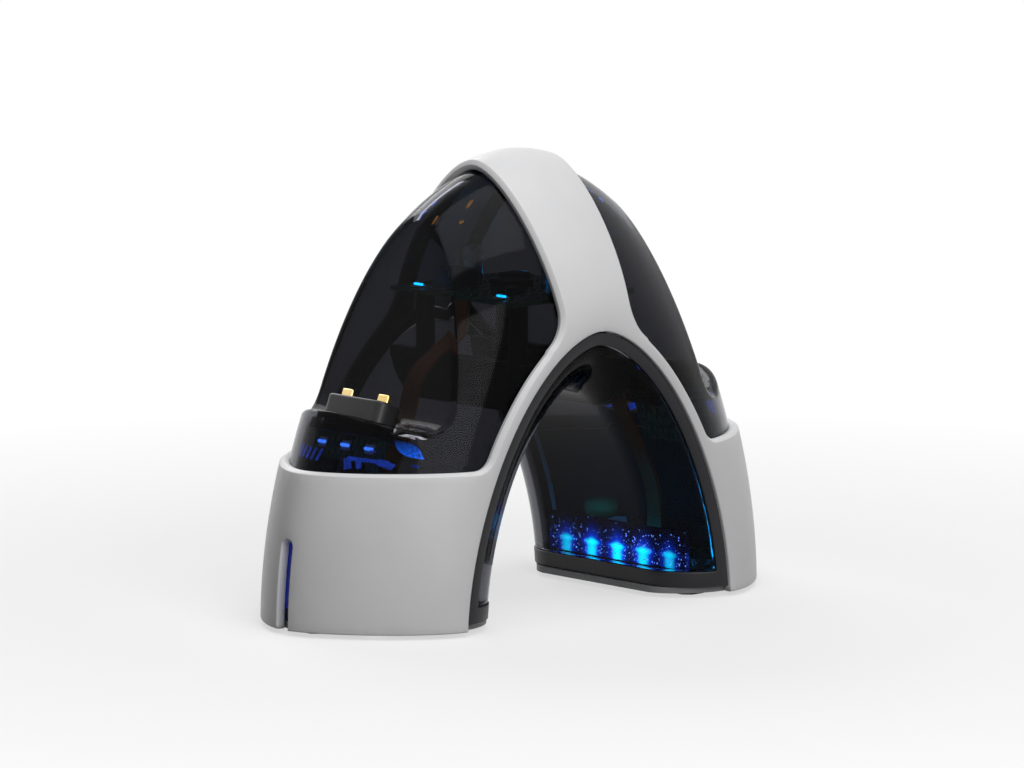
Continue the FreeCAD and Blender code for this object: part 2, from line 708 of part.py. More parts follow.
def make_main_lamps():
    top = main_board_top()
    x = MAIN_BOARD_LENGTH / 2 - LAMP_DEPTH
    lamps = []
    for side in (-1, 1):
        for step in (-1, 1):
            lamps.append(middle_box(LAMP_DEPTH, LAMP_LENGTH, LAMP_HEIGHT, (side * x, step * LAMP_PITCH * 1.6), top))
    return Part.makeCompound(lamps)


def cable_spine(points):
    """Straight runs through the points, joined by arcs that are tangent to both."""
    edges = []
    start = points[0]
    for before, here, after in zip(points, points[1:], points[2:]):
        arriving = Vector(here - before).normalize()
        leaving = Vector(after - here).normalize()
        turn = arriving.getAngle(leaving)
        cut = 0.4 * min((here - before).Length, (after - here).Length)
        radius = cut / math.tan(turn / 2)
        first = here - arriving * cut
        last = here + leaving * cut
        inward = Vector(leaving - arriving).normalize()
        centre = here + inward * math.hypot(radius, cut)
        middle = centre - inward * radius
        edges.append(Part.makeLine(start, first))
        edges.append(Part.Arc(first, middle, last).toShape())
        start = last
    edges.append(Part.makeLine(start, points[-1]))
    return Part.Wire(edges)


def make_cable():
    """Flat cable from a lamp board up the leg to the main board."""
    inner, outer = lamp_board_range()
    low = plate_top + BOARD_LIFT + BOARD_THICKNESS
    corner, seat, back = seat_frame()
    foot_x = outer - CABLE_INSET
    top_x = MAIN_BOARD_LENGTH / 2 - CABLE_INSET
    knee = corner + back * CABLE_KNEE - Vector(CABLE_CLEAR, 0, 0)
    stops = [Vector(foot_x, 0, low), Vector(foot_x, 0, low + CABLE_RISE)]
    stops += [corner - Vector(CABLE_CLEAR, 0, 0), knee, Vector(top_x, 0, main_board_low - CABLE_CLEAR)]
    stops += [Vector(top_x, 0, main_board_low)]
    thick = CABLE_THICKNESS / 2
    wide = CABLE_WIDTH / 2
    corners = ((-thick, -wide), (thick, -wide), (thick, wide), (-thick, wide))
    ring = [Vector(foot_x + x, y, low) for x, y in corners]
    return cable_spine(stops).makePipeShell([Part.Wire(outline(ring))], True, False)


pieces = {
    "outer_shell": make_outer_shell(),
    "tunnel_frame": make_tunnel_frame(),
    "tunnel_window": make_tunnel_window(),
    "base_screws": make_screws(),
    "power_inlet": make_inlet(),
    "power_inlet_tongue": make_inlet_tongue(),
    "lamp_board_right": make_right_lamp_board(),
    "lamp_board_left": turned(make_lamp_board()),
    "main_board": make_main_board(),
    "main_board_chips": make_main_chips(),
    "main_board_coils": make_main_coils(),
    "main_board_cans": make_main_cans(),
    "main_board_lamps": make_main_lamps(),
}
paired = {
    "cradle": make_cradle(),
    "charge_connector": make_connector(),
    "charge_contacts": make_contacts(),
    "charge_board": make_charge_board(),
    "charge_chips": make_charge_chips(),
    "charge_lamps": make_charge_lamps(),
    "base_plate": make_base_plate(),
    "lamps": make_lamps(),
    "light_pipe": make_light_pipe(),
    "leg_cable": make_cable(),
}
for name, shape in paired.items():
    pieces[name + "_right"] = shape
    pieces[name + "_left"] = turned(shape)
for number, (x, y) in enumerate(pad_places(), start=1):
    pieces["foot_pad_right_%d" % number] = make_pad(x, y)
    pieces["foot_pad_left_%d" % number] = turned(make_pad(x, y))

os.makedirs("parts", exist_ok=True)
for name, shape in pieces.items():
    shape.exportStep("parts/" + name + ".step")
    print(name, len(shape.Solids), "solid", round(shape.Volume, 1), "cubic mm")
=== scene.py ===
# %% [markdown]
# This lesson dresses an arch-shaped charging dock: a white shell on two feet, a smoked see-through dome on
# each side and a lit tunnel through the middle. The solids come from a CAD model in metres, and each of
# them stays where the CAD model puts it. Blender adds the finishes, the rounded skins, the lit electronics
# and the studio. The first cell loads the solids.

# %% Load the solids
import bmesh
import bpy
import json
import math
import random
import numpy as np
from mathutils import Matrix, Vector, geometry, kdtree


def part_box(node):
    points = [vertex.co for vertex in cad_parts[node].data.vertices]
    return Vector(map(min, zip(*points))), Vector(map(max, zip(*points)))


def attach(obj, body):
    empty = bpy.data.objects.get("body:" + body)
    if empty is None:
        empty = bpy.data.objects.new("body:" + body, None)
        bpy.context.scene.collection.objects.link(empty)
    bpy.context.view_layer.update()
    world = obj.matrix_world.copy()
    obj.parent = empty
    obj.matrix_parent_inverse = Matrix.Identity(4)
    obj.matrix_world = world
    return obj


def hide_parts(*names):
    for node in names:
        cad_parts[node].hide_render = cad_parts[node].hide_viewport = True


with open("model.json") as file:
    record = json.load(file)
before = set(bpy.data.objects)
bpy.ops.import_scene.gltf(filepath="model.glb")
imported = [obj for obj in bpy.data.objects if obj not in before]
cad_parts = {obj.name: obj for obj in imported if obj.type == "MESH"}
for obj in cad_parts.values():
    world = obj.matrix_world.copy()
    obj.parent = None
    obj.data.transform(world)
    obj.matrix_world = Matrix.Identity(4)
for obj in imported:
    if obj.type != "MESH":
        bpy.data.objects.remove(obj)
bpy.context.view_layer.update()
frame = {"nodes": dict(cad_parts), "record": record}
nodes = frame["nodes"]

# %% [markdown]
# The CAD model is also the ruler. Where a new piece sits on a solid or stands for one, its place is read
# from that solid's box and isn't typed again. Boxes come in metres. The lesson's own lengths are
# millimetres, and they are scaled once, when a mesh is made.

# %% Corners of a solid
MM = 0.001


def corners(node, digits=2):
    """Lowest and highest corner of a solid at rest, in millimetres."""
    return [[round(value / MM, digits) for value in corner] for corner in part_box(node)]


print("main board from", *corners("main_board"))

# %% [markdown]
# Every finish starts from the Principled shader and is a small network of nodes. Drawing each link by hand
# makes long code, so `shader_node` adds a node and feeds its inputs, and `feed` either sets a plain value
# or draws a link. What is the same all over a surface stays a plain value on the shader's own socket.

# %% Helpers for shader nodes
finishes = {}


def new_finish(name):
    material = bpy.data.materials.new(name)
    material.use_nodes = True
    finishes[name] = material
    return material.node_tree


def feed(tree, value, socket):
    """Draws a link where the value is another node's output, and sets it where it is plain."""
    if isinstance(value, bpy.types.NodeSocket):
        tree.links.new(value, socket)
    else:
        socket.default_value = value


def shader_node(tree, kind, inputs, **settings):
    """New node with its settings, and with inputs fed by name or number."""
    made = tree.nodes.new("ShaderNode" + kind)
    for name, value in settings.items():
        setattr(made, name, value)
    for key, value in inputs.items():
        feed(tree, value, made.inputs[key])
    return made


def set_shader(tree, inputs):
    """Feeds the inputs of a finish's Principled shader."""
    for key, value in inputs.items():
        feed(tree, value, tree.nodes["Principled BSDF"].inputs[key])


def reckon(tree, operation, first, second):
    """Math on two values, each a number or a socket."""
    return shader_node(tree, "Math", {0: first, 1: second}, operation=operation).outputs["Value"]


def place_of(tree):
    """Place on the surface in metres, from the dock's origin."""
    return shader_node(tree, "TexCoord", {}).outputs["Object"]


print("node helpers ready")

# %% [markdown]
# A moulded part is never one flat colour. A slow noise shifts its colour a little, a finer one makes its
# gloss uneven, and the finest one is the skin that the mould leaves, as bump. Most of a noise lies in the
# middle between 0 and 1, so the helpers spread that middle over the range that a finish asks for.

# %% Helpers for uneven surfaces
NOISE_LOW = 0.3
NOISE_HIGH = 0.7


def noise(tree, scale, detail=2.0):
    inputs = {"Vector": place_of(tree), "Scale": scale, "Detail": detail}
    return shader_node(tree, "TexNoise", inputs).outputs["Fac"]


def spread(tree, value, low, high):
    """Spreads the middle of a noise over a range."""
    inputs = {"Value": value, "From Min": NOISE_LOW, "From Max": NOISE_HIGH, "To Min": low, "To Max": high}
    return shader_node(tree, "MapRange", inputs).outputs["Result"]


def two_tone(tree, value, first, second):
    """Colour that runs from one tone to another over the middle of a noise."""
    ramp = shader_node(tree, "ValToRGB", {"Fac": value})
    for stop, position, tone in zip(ramp.color_ramp.elements, (NOISE_LOW, NOISE_HIGH), (first, second)):
        stop.position = position
        stop.color = (*tone, 1)
    return ramp.outputs["Color"]


def bump(tree, height, strength, depth):
    """Normal that follows a height; the depth is in metres."""
    inputs = {"Height": height, "Strength": strength, "Distance": depth}
    return shader_node(tree, "Bump", inputs).outputs["Normal"]


print("noise is spread from", NOISE_LOW, "to", NOISE_HIGH)

# %% [markdown]
# The shell is white satin plastic, and the tunnel's frame and the base are darker grades of the same kind.
# Their grain is about a third of a millimetre, as spark erosion leaves it in a mould. Metals take the same
# network with the Metallic input at 1, so one function makes every opaque finish.

# %% Opaque finishes
COLOUR_DRIFT = 60
GLOSS_DRIFT = 400
GRAIN_STRENGTH = 0.35


def moulded(name, first, second, rough, grain, depth, metal=0.0, gloss=0.5):
    """Finish with a slow colour drift, uneven gloss and a fine grain."""
    tree = new_finish(name)
    set_shader(tree, {
        "Base Color": two_tone(tree, noise(tree, COLOUR_DRIFT), first, second),
        "Roughness": spread(tree, noise(tree, GLOSS_DRIFT, 4), *rough),
        "Normal": bump(tree, noise(tree, grain, 3), GRAIN_STRENGTH, depth),
        "Metallic": metal,
        "Specular IOR Level": gloss,
    })


moulded("shell_white", (0.79, 0.79, 0.80), (0.82, 0.82, 0.83), (0.36, 0.44), 3200, 0.00003, gloss=0.3)
moulded("frame_black", (0.018, 0.018, 0.021), (0.024, 0.024, 0.027), (0.36, 0.46), 3000, 0.00004,
        gloss=0.25)
moulded("plate_grey", (0.20, 0.201, 0.205), (0.24, 0.241, 0.245), (0.45, 0.6), 2600, 0.00006)
moulded("pad_rubber", (0.022, 0.022, 0.022), (0.034, 0.034, 0.034), (0.75, 0.9), 1800, 0.0001)
moulded("connector_black", (0.016, 0.016, 0.017), (0.022, 0.022, 0.024), (0.3, 0.45), 3000, 0.00004,
        gloss=0.3)
moulded("chip_black", (0.02, 0.02, 0.022), (0.03, 0.03, 0.033), (0.4, 0.6), 4000, 0.00004)
moulded("coil_grey", (0.08, 0.08, 0.085), (0.12, 0.12, 0.125), (0.5, 0.7), 2500, 0.00008)
moulded("cable_orange", (0.50, 0.14, 0.025), (0.60, 0.18, 0.035), (0.35, 0.5), 1500, 0.00005)
moulded("screw_steel", (0.42, 0.42, 0.43), (0.50, 0.50, 0.51), (0.25, 0.4), 5000, 0.00002, metal=1.0)
moulded("inlet_steel", (0.58, 0.58, 0.60), (0.66, 0.66, 0.68), (0.18, 0.3), 4000, 0.00002, metal=1.0)
moulded("can_metal", (0.62, 0.63, 0.65), (0.70, 0.71, 0.73), (0.2, 0.32), 4000, 0.00002, metal=1.0)
moulded("contact_gold", (0.82, 0.58, 0.22), (0.88, 0.66, 0.30), (0.16, 0.28), 4000, 0.00002, metal=1.0)
print(len(finishes), "opaque finishes")

# %% [markdown]
# The domes and the tunnel's window are smoked see-through plastic. Transmission makes the shader behave as
# clear plastic, and the dark base colour takes most of the light at each pass through a wall. Real plastic
# of this kind has an index of refraction near 1.5. Here it is lower, because the index also sets how
# strongly the wall mirrors the white studio, and a weaker mirror image keeps the domes as dark as they
# should look.


# %% Smoked plastic
def smoked_plastic():
    tree = new_finish("smoked_clear")
    set_shader(tree, {
        "Base Color": two_tone(tree, noise(tree, 40), (0.095, 0.097, 0.110), (0.110, 0.112, 0.130)),
        "Roughness": spread(tree, noise(tree, 60), 0.02, 0.05),
        "Normal": bump(tree, noise(tree, 25, 1), 0.05, 0.0001),
        "Transmission Weight": 1.0,
        "IOR": 1.13,
    })


smoked_plastic()
print("smoked plastic ready")

# %% [markdown]
# Circuit boards are glass-fibre sheets under green varnish. Copper tracks show through the varnish as paler
# lines, so the joints of a brick pattern stand for the tracks and also raise the surface a little.


# %% Circuit board
def circuit_board():
    tree = new_finish("board_green")
    tracks = shader_node(tree, "TexBrick", {
        "Vector": place_of(tree),
        "Scale": 220,
        "Mortar Size": 0.06,
        "Color1": (0.012, 0.085, 0.045, 1),
        "Color2": (0.018, 0.11, 0.06, 1),
        "Mortar": (0.10, 0.32, 0.20, 1),
    })
    set_shader(tree, {
        "Base Color": tracks.outputs["Color"],
        "Roughness": spread(tree, noise(tree, 500), 0.2, 0.35),
        "Normal": bump(tree, tracks.outputs["Fac"], 0.4, 0.00004),
    })


circuit_board()
print("circuit board ready")

# %% [markdown]
# The lamps and the light guides give out light of their own. The same emission also paints light where
# there is no lamp: the glow of the marks behind the wall and the sparkle of the flakes are painted light.
# Emission has a colour and a strength; a noise makes the lit face a little uneven, as a lens over a chip is.
# A small lens that is looked at through smoked plastic needs a strength far above 1 to show as bright.


# %% Lit finishes
def lit(name, colour, glow, strength, rough):
    """Finish that gives out light, with a strength that varies over a range."""
    tree = new_finish(name)
    set_shader(tree, {
        "Base Color": two_tone(tree, noise(tree, 900), colour, [0.85 * value for value in colour]),
        "Emission Color": (*glow, 1),
        "Emission Strength": spread(tree, noise(tree, 600), *strength),
        "Roughness": rough,
    })


lit("lamp_blue", (0.35, 0.60, 0.95), (0.0, 0.42, 1.0), (15.0, 20.0), 0.25)
# painted sparkle: the flakes glow by emission, though they are no lamps
lit("painted_sparkle_blue", (0.20, 0.30, 0.60), (0.12, 0.28, 1.0), (0.5, 14.0), 0.25)
lit("seat_dash", (0.20, 0.35, 0.80), (0.05, 0.22, 1.0), (7.0, 9.0), 0.25)
# painted glow: lamp-lit parts behind the wall glow by emission, though they are no lamps
lit("painted_glow_blue", (0.02, 0.04, 0.20), (0.03, 0.12, 1.0), (0.9, 2.2), 0.4)
lit("painted_glow_orange", (0.40, 0.15, 0.02), (1.0, 0.38, 0.03), (0.8, 1.6), 0.4)
lit("pipe_blue", (0.008, 0.012, 0.06), (0.002, 0.008, 0.14), (0.5, 0.7), 0.5)
print("lit finishes ready")

# %% [markdown]
# One mark is a painted patch of lamp light: a leaf of fine bright grains that fade out towards its upper
# end. The height of a point on the surface comes from Separate XYZ, and a Map Range turns it into the fade.

# %% Fading leaf of painted lamp light
LEAF_BRIGHT_Z = 0.0455
LEAF_DIM_Z = 0.0500
LEAF_COLOUR = (0.02, 0.05, 0.25)


def leaf_painted_light():
    # painted light: the leaf glows by emission and stands for lamp light falling on a surface
    tree = new_finish("leaf_painted_light")
    height = shader_node(tree, "SeparateXYZ", {"Vector": place_of(tree)}).outputs["Z"]
    fade = {"Value": height, "From Min": LEAF_BRIGHT_Z, "From Max": LEAF_DIM_Z, "To Min": 1.0, "To Max": 0.04}
    faded = shader_node(tree, "MapRange", fade).outputs["Result"]
    grains = spread(tree, noise(tree, 1500, 4), 1.0, 11.0)
    set_shader(tree, {
        "Base Color": two_tone(tree, noise(tree, 1200), LEAF_COLOUR, [0.7 * value for value in LEAF_COLOUR]),
        "Emission Color": (0.01, 0.16, 1.0, 1),
        "Emission Strength": reckon(tree, "MULTIPLY", grains, faded),
        "Roughness": 0.3,
    })


leaf_painted_light()
print("leaf fades out at", LEAF_DIM_Z, "m")

# %% [markdown]
# The record of the CAD model says which finish each solid takes. Each solid could be named here again, but
# two lists drift apart, so one loop reads the record and dresses them all.

# %% Dress the solids
for part in frame["record"]["subparts"]:
    solid = nodes[part["node"]]
    solid.data.materials.clear()
    solid.data.materials.append(finishes[part["material_slot"]])

# %% [markdown]
# The shell, the domes and the window are thin walls on one family of curved surfaces. They could be cut out
# with Boolean modifiers, but clean meshes with rolled edges shade better, so each is built from its
# surface. A surface is a function of an angle, which runs round the arch from one foot to the other, and of
# v, which runs across it from -1 to 1. At each angle, a half oval stands on the edge of the tunnel and
# points outward.

# %% The arch as a surface
shell_low, shell_high = corners("outer_shell")
HALF_LENGTH = 80.0     # outer line of the arch at the ground
HALF_WIDTH = shell_high[1]
HEIGHT = shell_high[2]
OUTER_POWER = 1.9      # 2 is an ellipse, and less is more pointed
TUNNEL_HALF = 46.5
TUNNEL_HEIGHT = 75.0
TUNNEL_POWER = 1.71
OVAL_FULLNESS = 0.373  # handles of the half oval's Bezier curve


def superellipse(half, height, power, angle):
    cosine = math.cos(angle)
    sine = math.sin(angle)
    across = math.copysign(abs(cosine) ** (2 / power), cosine)
    return Vector((half * across, math.copysign(abs(sine) ** (2 / power), sine) * height))


def station(angle):
    """Edge of the tunnel, way out from it and depth of the arch at one angle, in the XZ plane."""
    edge = superellipse(TUNNEL_HALF, TUNNEL_HEIGHT, TUNNEL_POWER, angle)
    out = superellipse(HALF_LENGTH, HEIGHT, OUTER_POWER, angle) - edge
    return edge, out.normalized(), out.length


def oval(v):
    """Shares of the half width and of the depth across the arch's half-oval section."""
    u = abs(v)
    across = 3 * (1 - u) ** 2 * u * OVAL_FULLNESS + 3 * (1 - u) * u * u + u ** 3
    out = (1 - u) ** 3 + 3 * (1 - u) ** 2 * u + 3 * (1 - u) * u * u * OVAL_FULLNESS
    return math.copysign(across, v), out


def skin(inset):
    """Surface of the arch, drawn in by an inset."""
    def point(angle, v):
        edge, way, depth = station(angle)
        across, out = oval(v)
        place = edge + way * (out * (depth - inset))
        return Vector((place.x, across * (HALF_WIDTH - inset), place.y))
    return point


print("crown at", [round(value, 1) for value in skin(0)(math.pi / 2, 0)], "mm")

# %% [markdown]
# The way back is needed too: which angle and v lie over a given place, or at a given height? There is no
# neat formula for that, so a search halves a range until the error is gone. It is short, and it works for
# any curve.

# %% Finding places on a surface
HALVINGS = 40
SMALL_STEP = 0.002
LOWEST_ANGLE = -0.3    # a little below the ground
NEAR_CROWN = 1.5


def solve(low, high, error):
    """Value where an error that falls from low to high crosses zero."""
    for _ in range(HALVINGS):
        middle = (low + high) / 2
        if error(middle) > 0:
            low = middle
        else:
            high = middle
    return (low + high) / 2


def facing(surface, first, second):
    """Outward normal of a surface at its two coordinates."""
    along = surface(first + SMALL_STEP, second) - surface(first - SMALL_STEP, second)
    across = surface(first, second + SMALL_STEP) - surface(first, second - SMALL_STEP)
    return across.cross(along).normalized()


def share_of_depth(place, inset):
    """Angle of the arch at a place in the XZ plane, and the place's share of the skin's depth there."""
    def miss(angle):
        edge, way, depth = station(angle)
        return way.x * (place.y - edge.y) - way.y * (place.x - edge.x)
    angle = solve(LOWEST_ANGLE, math.pi / 2, miss)
    edge, way, depth = station(angle)
    return angle, (place - edge).dot(way) / (depth - inset)


def over(place, inset):
    """Angle and v, from 0 to 1, of the skin's point over a place in the XZ plane."""
    angle, share = share_of_depth(place, inset)
    return angle, solve(0, 1, lambda u: oval(u)[1] - share)


def at_height(surface, v, height):
    """Angle at which a surface reaches a height over the right foot."""
    return solve(LOWEST_ANGLE, NEAR_CROWN, lambda angle: height - surface(angle, v).z)


def v_at(y, inset):
    """The v at which the skin, drawn in by an inset, reaches a y."""
    return math.copysign(solve(0, 1, lambda u: abs(y) - oval(u)[0] * (HALF_WIDTH - inset)), y)


print("foot at angle", round(at_height(skin(0), 0, 0), 3))

# %% [markdown]
# A trimmed surface is cut out on a flat map first. Blender's Delaunay tool fills the map between the
# outlines with even triangles, and the surface function then lifts every point of the map into space. Grid
# points that are too close to an outline are left out, because they would make slivers.

# %% Even triangles between outlines
ROW_STEP = math.sqrt(0.75)    # height of a triangle with sides of 1
MAP_TOLERANCE = 1e-6


def inside(points, outlines):
    """Which points lie inside the first outline and outside the holes after it."""
    x, y = points[:, 0], points[:, 1]
    result = np.zeros(len(points), bool)
    for outline in outlines:
        for (x0, y0), (x1, y1) in zip(outline, outline[1:] + outline[:1]):
            if y0 != y1:
                crossing = (y0 > y) != (y1 > y)
                result ^= crossing & (x < (x1 - x0) * (y - y0) / (y1 - y0) + x0)
    return result


def grid_between(outlines, spacing, clear):
    """Grid of places between outlines that keeps clear of their points."""
    border = [place for outline in outlines for place in outline]
    near = kdtree.KDTree(len(border))
    for index, place in enumerate(border):
        near.insert((*place, 0), index)
    near.balance()
    low = np.min(outlines[0], axis=0)
    high = np.max(outlines[0], axis=0)
    grid = []
    for row, y in enumerate(np.arange(low[1], high[1], spacing * ROW_STEP)):
        for x in np.arange(low[0] + (row % 2) * spacing / 2, high[0], spacing):
            if near.find((x, y, 0))[2] > clear:
                grid.append((x, y))
    grid = np.array(grid)
    return [tuple(place) for place in grid[inside(grid, outlines)]]


def fill(outlines, spacing, clear):
    """Points, triangles and rings of border points on a map between outlines."""
    rings = []
    for outline in outlines:
        first = rings[-1][-1] + 1 if rings else 0
        rings.append(list(range(first, first + len(outline))))
    points = [tuple(place) for outline in outlines for place in outline]
    points += grid_between(outlines, spacing, clear)
    edges = [pair for ring in rings for pair in zip(ring, ring[1:] + ring[:1])]
    made = geometry.delaunay_2d_cdt([Vector(place) for place in points], edges, [], 0, MAP_TOLERANCE)
    sources = [source[0] for source in made[3]]
    faces = [[sources[i] for i in face] for face in made[2]]
    middles = np.array([np.mean([points[i] for i in face], axis=0) for face in faces])
    return points, [face for face, kept in zip(faces, inside(middles, outlines)) if kept], rings


def lifted(outlines, spacing, clear, surface, scale):
    """Fills a map and lifts it to a surface: points, normals, triangles and rings."""
    places, faces, rings = fill(outlines, spacing, clear)
    spots = [(first / scale[0], second / scale[1]) for first, second in places]
    points = [surface(*spot) for spot in spots]
    normals = [facing(surface, *spot) for spot in spots]
    return points, normals, faces, rings


print("a square of 10 mm takes", len(fill([[(0, 0), (10, 0), (10, 10), (0, 10)]], 2, 1)[1]), "triangles")

# %% [markdown]
# Every wall has two skins and a rim that joins them. The rim is rolled: it leaves the outer skin along a
# quarter circle, runs down the wall and turns in a smaller quarter circle to the inner skin. That catches
# the thin line of light that a moulded edge shows. Where the real edge is cut at a slant, a flat bevel
# parts the quarter circle in two halves.


# %% Walls with rolled edges
def bridge(first, second):
    """Quads between two rings."""
    pairs = list(zip(first, second))
    return [[a, c, d, b] for (a, b), (c, d) in zip(pairs, pairs[1:] + pairs[:1])]


def rim_ways(points, normals, faces, ring):
    """For each point of a ring, the way in the surface that leaves the wall."""
    ways = []
    for k, here in enumerate(ring):
        along = points[ring[(k + 1) % len(ring)]] - points[ring[k - 1]]
        ways.append(along.cross(normals[here]).normalized())
    pair = {ring[0], ring[1]}
    third = next(i for face in faces if pair <= set(face) for i in face if i not in pair)
    if ways[0].dot(points[third] - points[ring[0]]) > 0:
        ways = [-way for way in ways]
    return ways


def rolled(wall, roll, bevel, inner_roll, steps=4):
    """Rim profile as pairs: how far out past the skin's end, and how far down."""
    turns = [math.pi / 2 * k / steps for k in range(steps + 1)]
    half = steps // 2
    again = half if bevel else half + 1
    quarter = [(roll * (math.sin(turn) - 1), roll * (1 - math.cos(turn))) for turn in turns]
    profile = [(out - bevel, down) for out, down in quarter[:half + 1]]
    profile += [(out, down + bevel) for out, down in quarter[again:]]
    for turn in turns:
        profile.append((inner_roll * (math.cos(turn) - 1), wall - inner_roll * (1 - math.sin(turn))))
    return profile


def thick_sheet(points, normals, faces, rings, wall, edges, inner_roll):
    """Closed wall on a sheet of points: outer skin, rims with a roll and a bevel each, and inner skin."""
    count = len(points)
    made = list(points) + [p - n * wall for p, n in zip(points, normals)]
    skins = list(faces) + [[i + count for i in face] for face in faces]
    for ring, (roll, bevel) in zip(rings, edges):
        ways = rim_ways(points, normals, faces, ring)
        steps = []
        for out, down in rolled(wall, roll, bevel, inner_roll):
            steps.append(list(range(len(made), len(made) + len(ring))))
            made += [points[i] + way * out - normals[i] * down for way, i in zip(ways, ring)]
        for k, i in enumerate(ring):
            made[i] = made[steps[0][k]]
            made[i + count] = made[steps[-1][k]]
        for first, second in zip(steps, steps[1:]):
            skins += bridge(first, second)
    return made, skins


print("plain and bevelled rims of", len(rolled(2.5, 0.4, 0, 0.3)), len(rolled(2.5, 0.3, 0.9, 0.3)), "steps")

# %% [markdown]
# Points and faces become a piece of the dock in one place: a mesh is made of them, welded and shaded
# smooth, dressed, and told to ride on the dock. Edges sharper than an angle may stay crisp. The dock looks
# the same after half a turn, so most pieces are drawn for the right foot and put down twice.

# %% From points to pieces
WELD = 1e-7            # metres
CRISP = 35             # degrees


def put(name, points, faces, slot, node=None, crisp=None, finish=None):
    """Makes a piece of a mesh in millimetres, dresses it and sets it on the dock."""
    shape = bmesh.new()
    spots = [shape.verts.new(point * MM) for point in points]
    for face in faces:
        shape.faces.new([spots[i] for i in face])
    bmesh.ops.remove_doubles(shape, verts=shape.verts, dist=WELD)
    bmesh.ops.recalc_face_normals(shape, faces=shape.faces)
    mesh = bpy.data.meshes.new(name)
    shape.to_mesh(mesh)
    shape.free()
    mesh.shade_smooth()
    if crisp:
        mesh.set_sharp_from_angle(angle=math.radians(crisp))
    mesh.materials.append(finishes[finish or slot])
    piece = bpy.data.objects.new(name, mesh)
    bpy.context.scene.collection.objects.link(piece)
    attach(piece, "root")
    if node:
        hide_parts(node)
    print(name, len(mesh.polygons), "faces")
    return piece


def gather(parts):
    """One list of points and faces from many."""
    points = []
    faces = []
    for more, more_faces in parts:
        faces += [[i + len(points) for i in face] for face in more_faces]
        points += more
    return points, faces


def turned(points):
    """The same points on the other side of the dock, half a turn about the upright axis."""
    return [Vector((-point.x, -point.y, point.z)) for point in points]


def both_sides(name, parts, slot, node=None, crisp=CRISP, finish=None):
    """Puts the same parts in both halves of the dock."""
    points, faces = gather(parts)
    for side, spots in (("right", points), ("left", turned(points))):
        put(name + "_" + side, spots, faces, slot, node + "_" + side if node else None, crisp, finish)


# %% [markdown]
# The shell is one white moulding: two feet, a band over the crown and a narrow strip along each edge of the
# tunnel. Its trim lines are the ground, the light slots, the tunnel's edges and the large opening on each
# side. Points along a trim line are spaced evenly in space, so that the rolled edge stays even.

# %% Helpers for trim lines
MAP_ANGLE = 85.0       # map units for an angle of 1 and for v of 1, about millimetres
MAP_V = 50.0
CORNER_STEPS = 16
TO_SKIN_STEPS = 40
FAR = 120.0


def on_map(places):
    return [(angle * MAP_ANGLE, v * MAP_V) for angle, v in places]


def evenly(places, surface, spacing):
    """Spaces places evenly along the line that they make on a surface; the ends stay."""
    spots = [surface(*place) for place in places]
    run = np.concatenate([[0], np.cumsum([(b - a).length for a, b in zip(spots, spots[1:])])])
    stops = np.linspace(0, run[-1], max(2, round(run[-1] / spacing) + 1))
    return list(zip(*[np.interp(stops, run, column) for column in zip(*places)]))


def ring_of(*stretches):
    """Joins stretches of places end to end into one ring."""
    return [place for stretch in stretches for place in stretch[:-1]]


def mirrored_ring(half):
    """Closed ring from places on the side of positive v that start and end at v = 0."""
    back = [(angle, -v) for angle, v in reversed(half)]
    return half[:-1] + back[:-1]


def rounded(line, corner, radius):
    """Rounds one corner of a line of XZ places with a circle."""
    here = line[corner]
    back = (line[corner - 1] - here).normalized()
    ahead = (line[corner + 1] - here).normalized()
    half = back.angle(ahead) / 2
    cut = radius / math.tan(half)
    centre = here + (back + ahead).normalized() * (radius / math.sin(half))
    first = here + back * cut - centre
    turn = first.angle_signed(here + ahead * cut - centre)
    arc = [centre + Matrix.Rotation(-turn * k / CORNER_STEPS, 2) @ first for k in range(CORNER_STEPS + 1)]
    before = [place for place in line[:corner] if (place - here).length > cut]
    after = [place for place in line[corner + 1:] if (place - here).length > cut]
    return before + arc + after


def to_skin(start, way, inset):
    """Places from a start along a way to where it meets the skin's middle, closer together near the skin."""
    reach = solve(0, FAR, lambda run: 1 - share_of_depth(start + way * run, inset)[1])
    shares = [1 - (1 - k / TO_SKIN_STEPS) ** 2 for k in range(TO_SKIN_STEPS + 1)]
    return [start + way * (reach * share) for share in shares]


print("trim-line helpers ready")

# %% [markdown]
# The opening on each side runs from the band down along the strip beside the tunnel and out along the rim
# of the foot. It could be drawn on the curved skin itself, but in the XZ plane, as in a side view of a
# technical drawing, its lines are simple and its two corners can be rounded with circles.

# %% Side opening of the shell
STRIP_WIDTH = 4.0
STRIP_STEPS = 30
BAND_TOP = 14.2        # half width of the band at the crown
BAND_NECK = 12.0       # half width of the band where it meets the strips
NECK_CORNER = 12.0
RIM_HEIGHT = 42.5
RIM_CORNER = 5.0


def side_opening():
    """Opening between band, strip and rim, in the XZ plane, from the crown to the end of the foot."""
    def beside(angle):
        edge, way, depth = station(angle)
        return edge + way * STRIP_WIDTH
    neck = solve(0, math.pi / 2, lambda angle: beside(angle).x - BAND_NECK)
    rim = solve(0, math.pi / 2, lambda angle: RIM_HEIGHT - beside(angle).y)
    up = Vector((BAND_TOP - BAND_NECK, HEIGHT - beside(neck).y)).normalized()
    band = to_skin(beside(neck), up, 0)[::-1]
    strip = [beside(neck + (rim - neck) * k / STRIP_STEPS) for k in range(STRIP_STEPS + 1)]
    foot = to_skin(beside(rim), Vector((1, 0)), 0)
    line = rounded(band + strip[1:] + foot[1:], len(band) + STRIP_STEPS - 1, RIM_CORNER)
    return rounded(line, len(band) - 1, NECK_CORNER)


print("side opening of", len(side_opening()), "places")

# %% [markdown]
# The lower edge of a foot stays a little above the ground, and in the middle it runs up round a narrow slot
# with a round top, through which a light guide shows. The slot is open at the ground, so it can't be a hole
# of its own; it is a part of the edge's line.

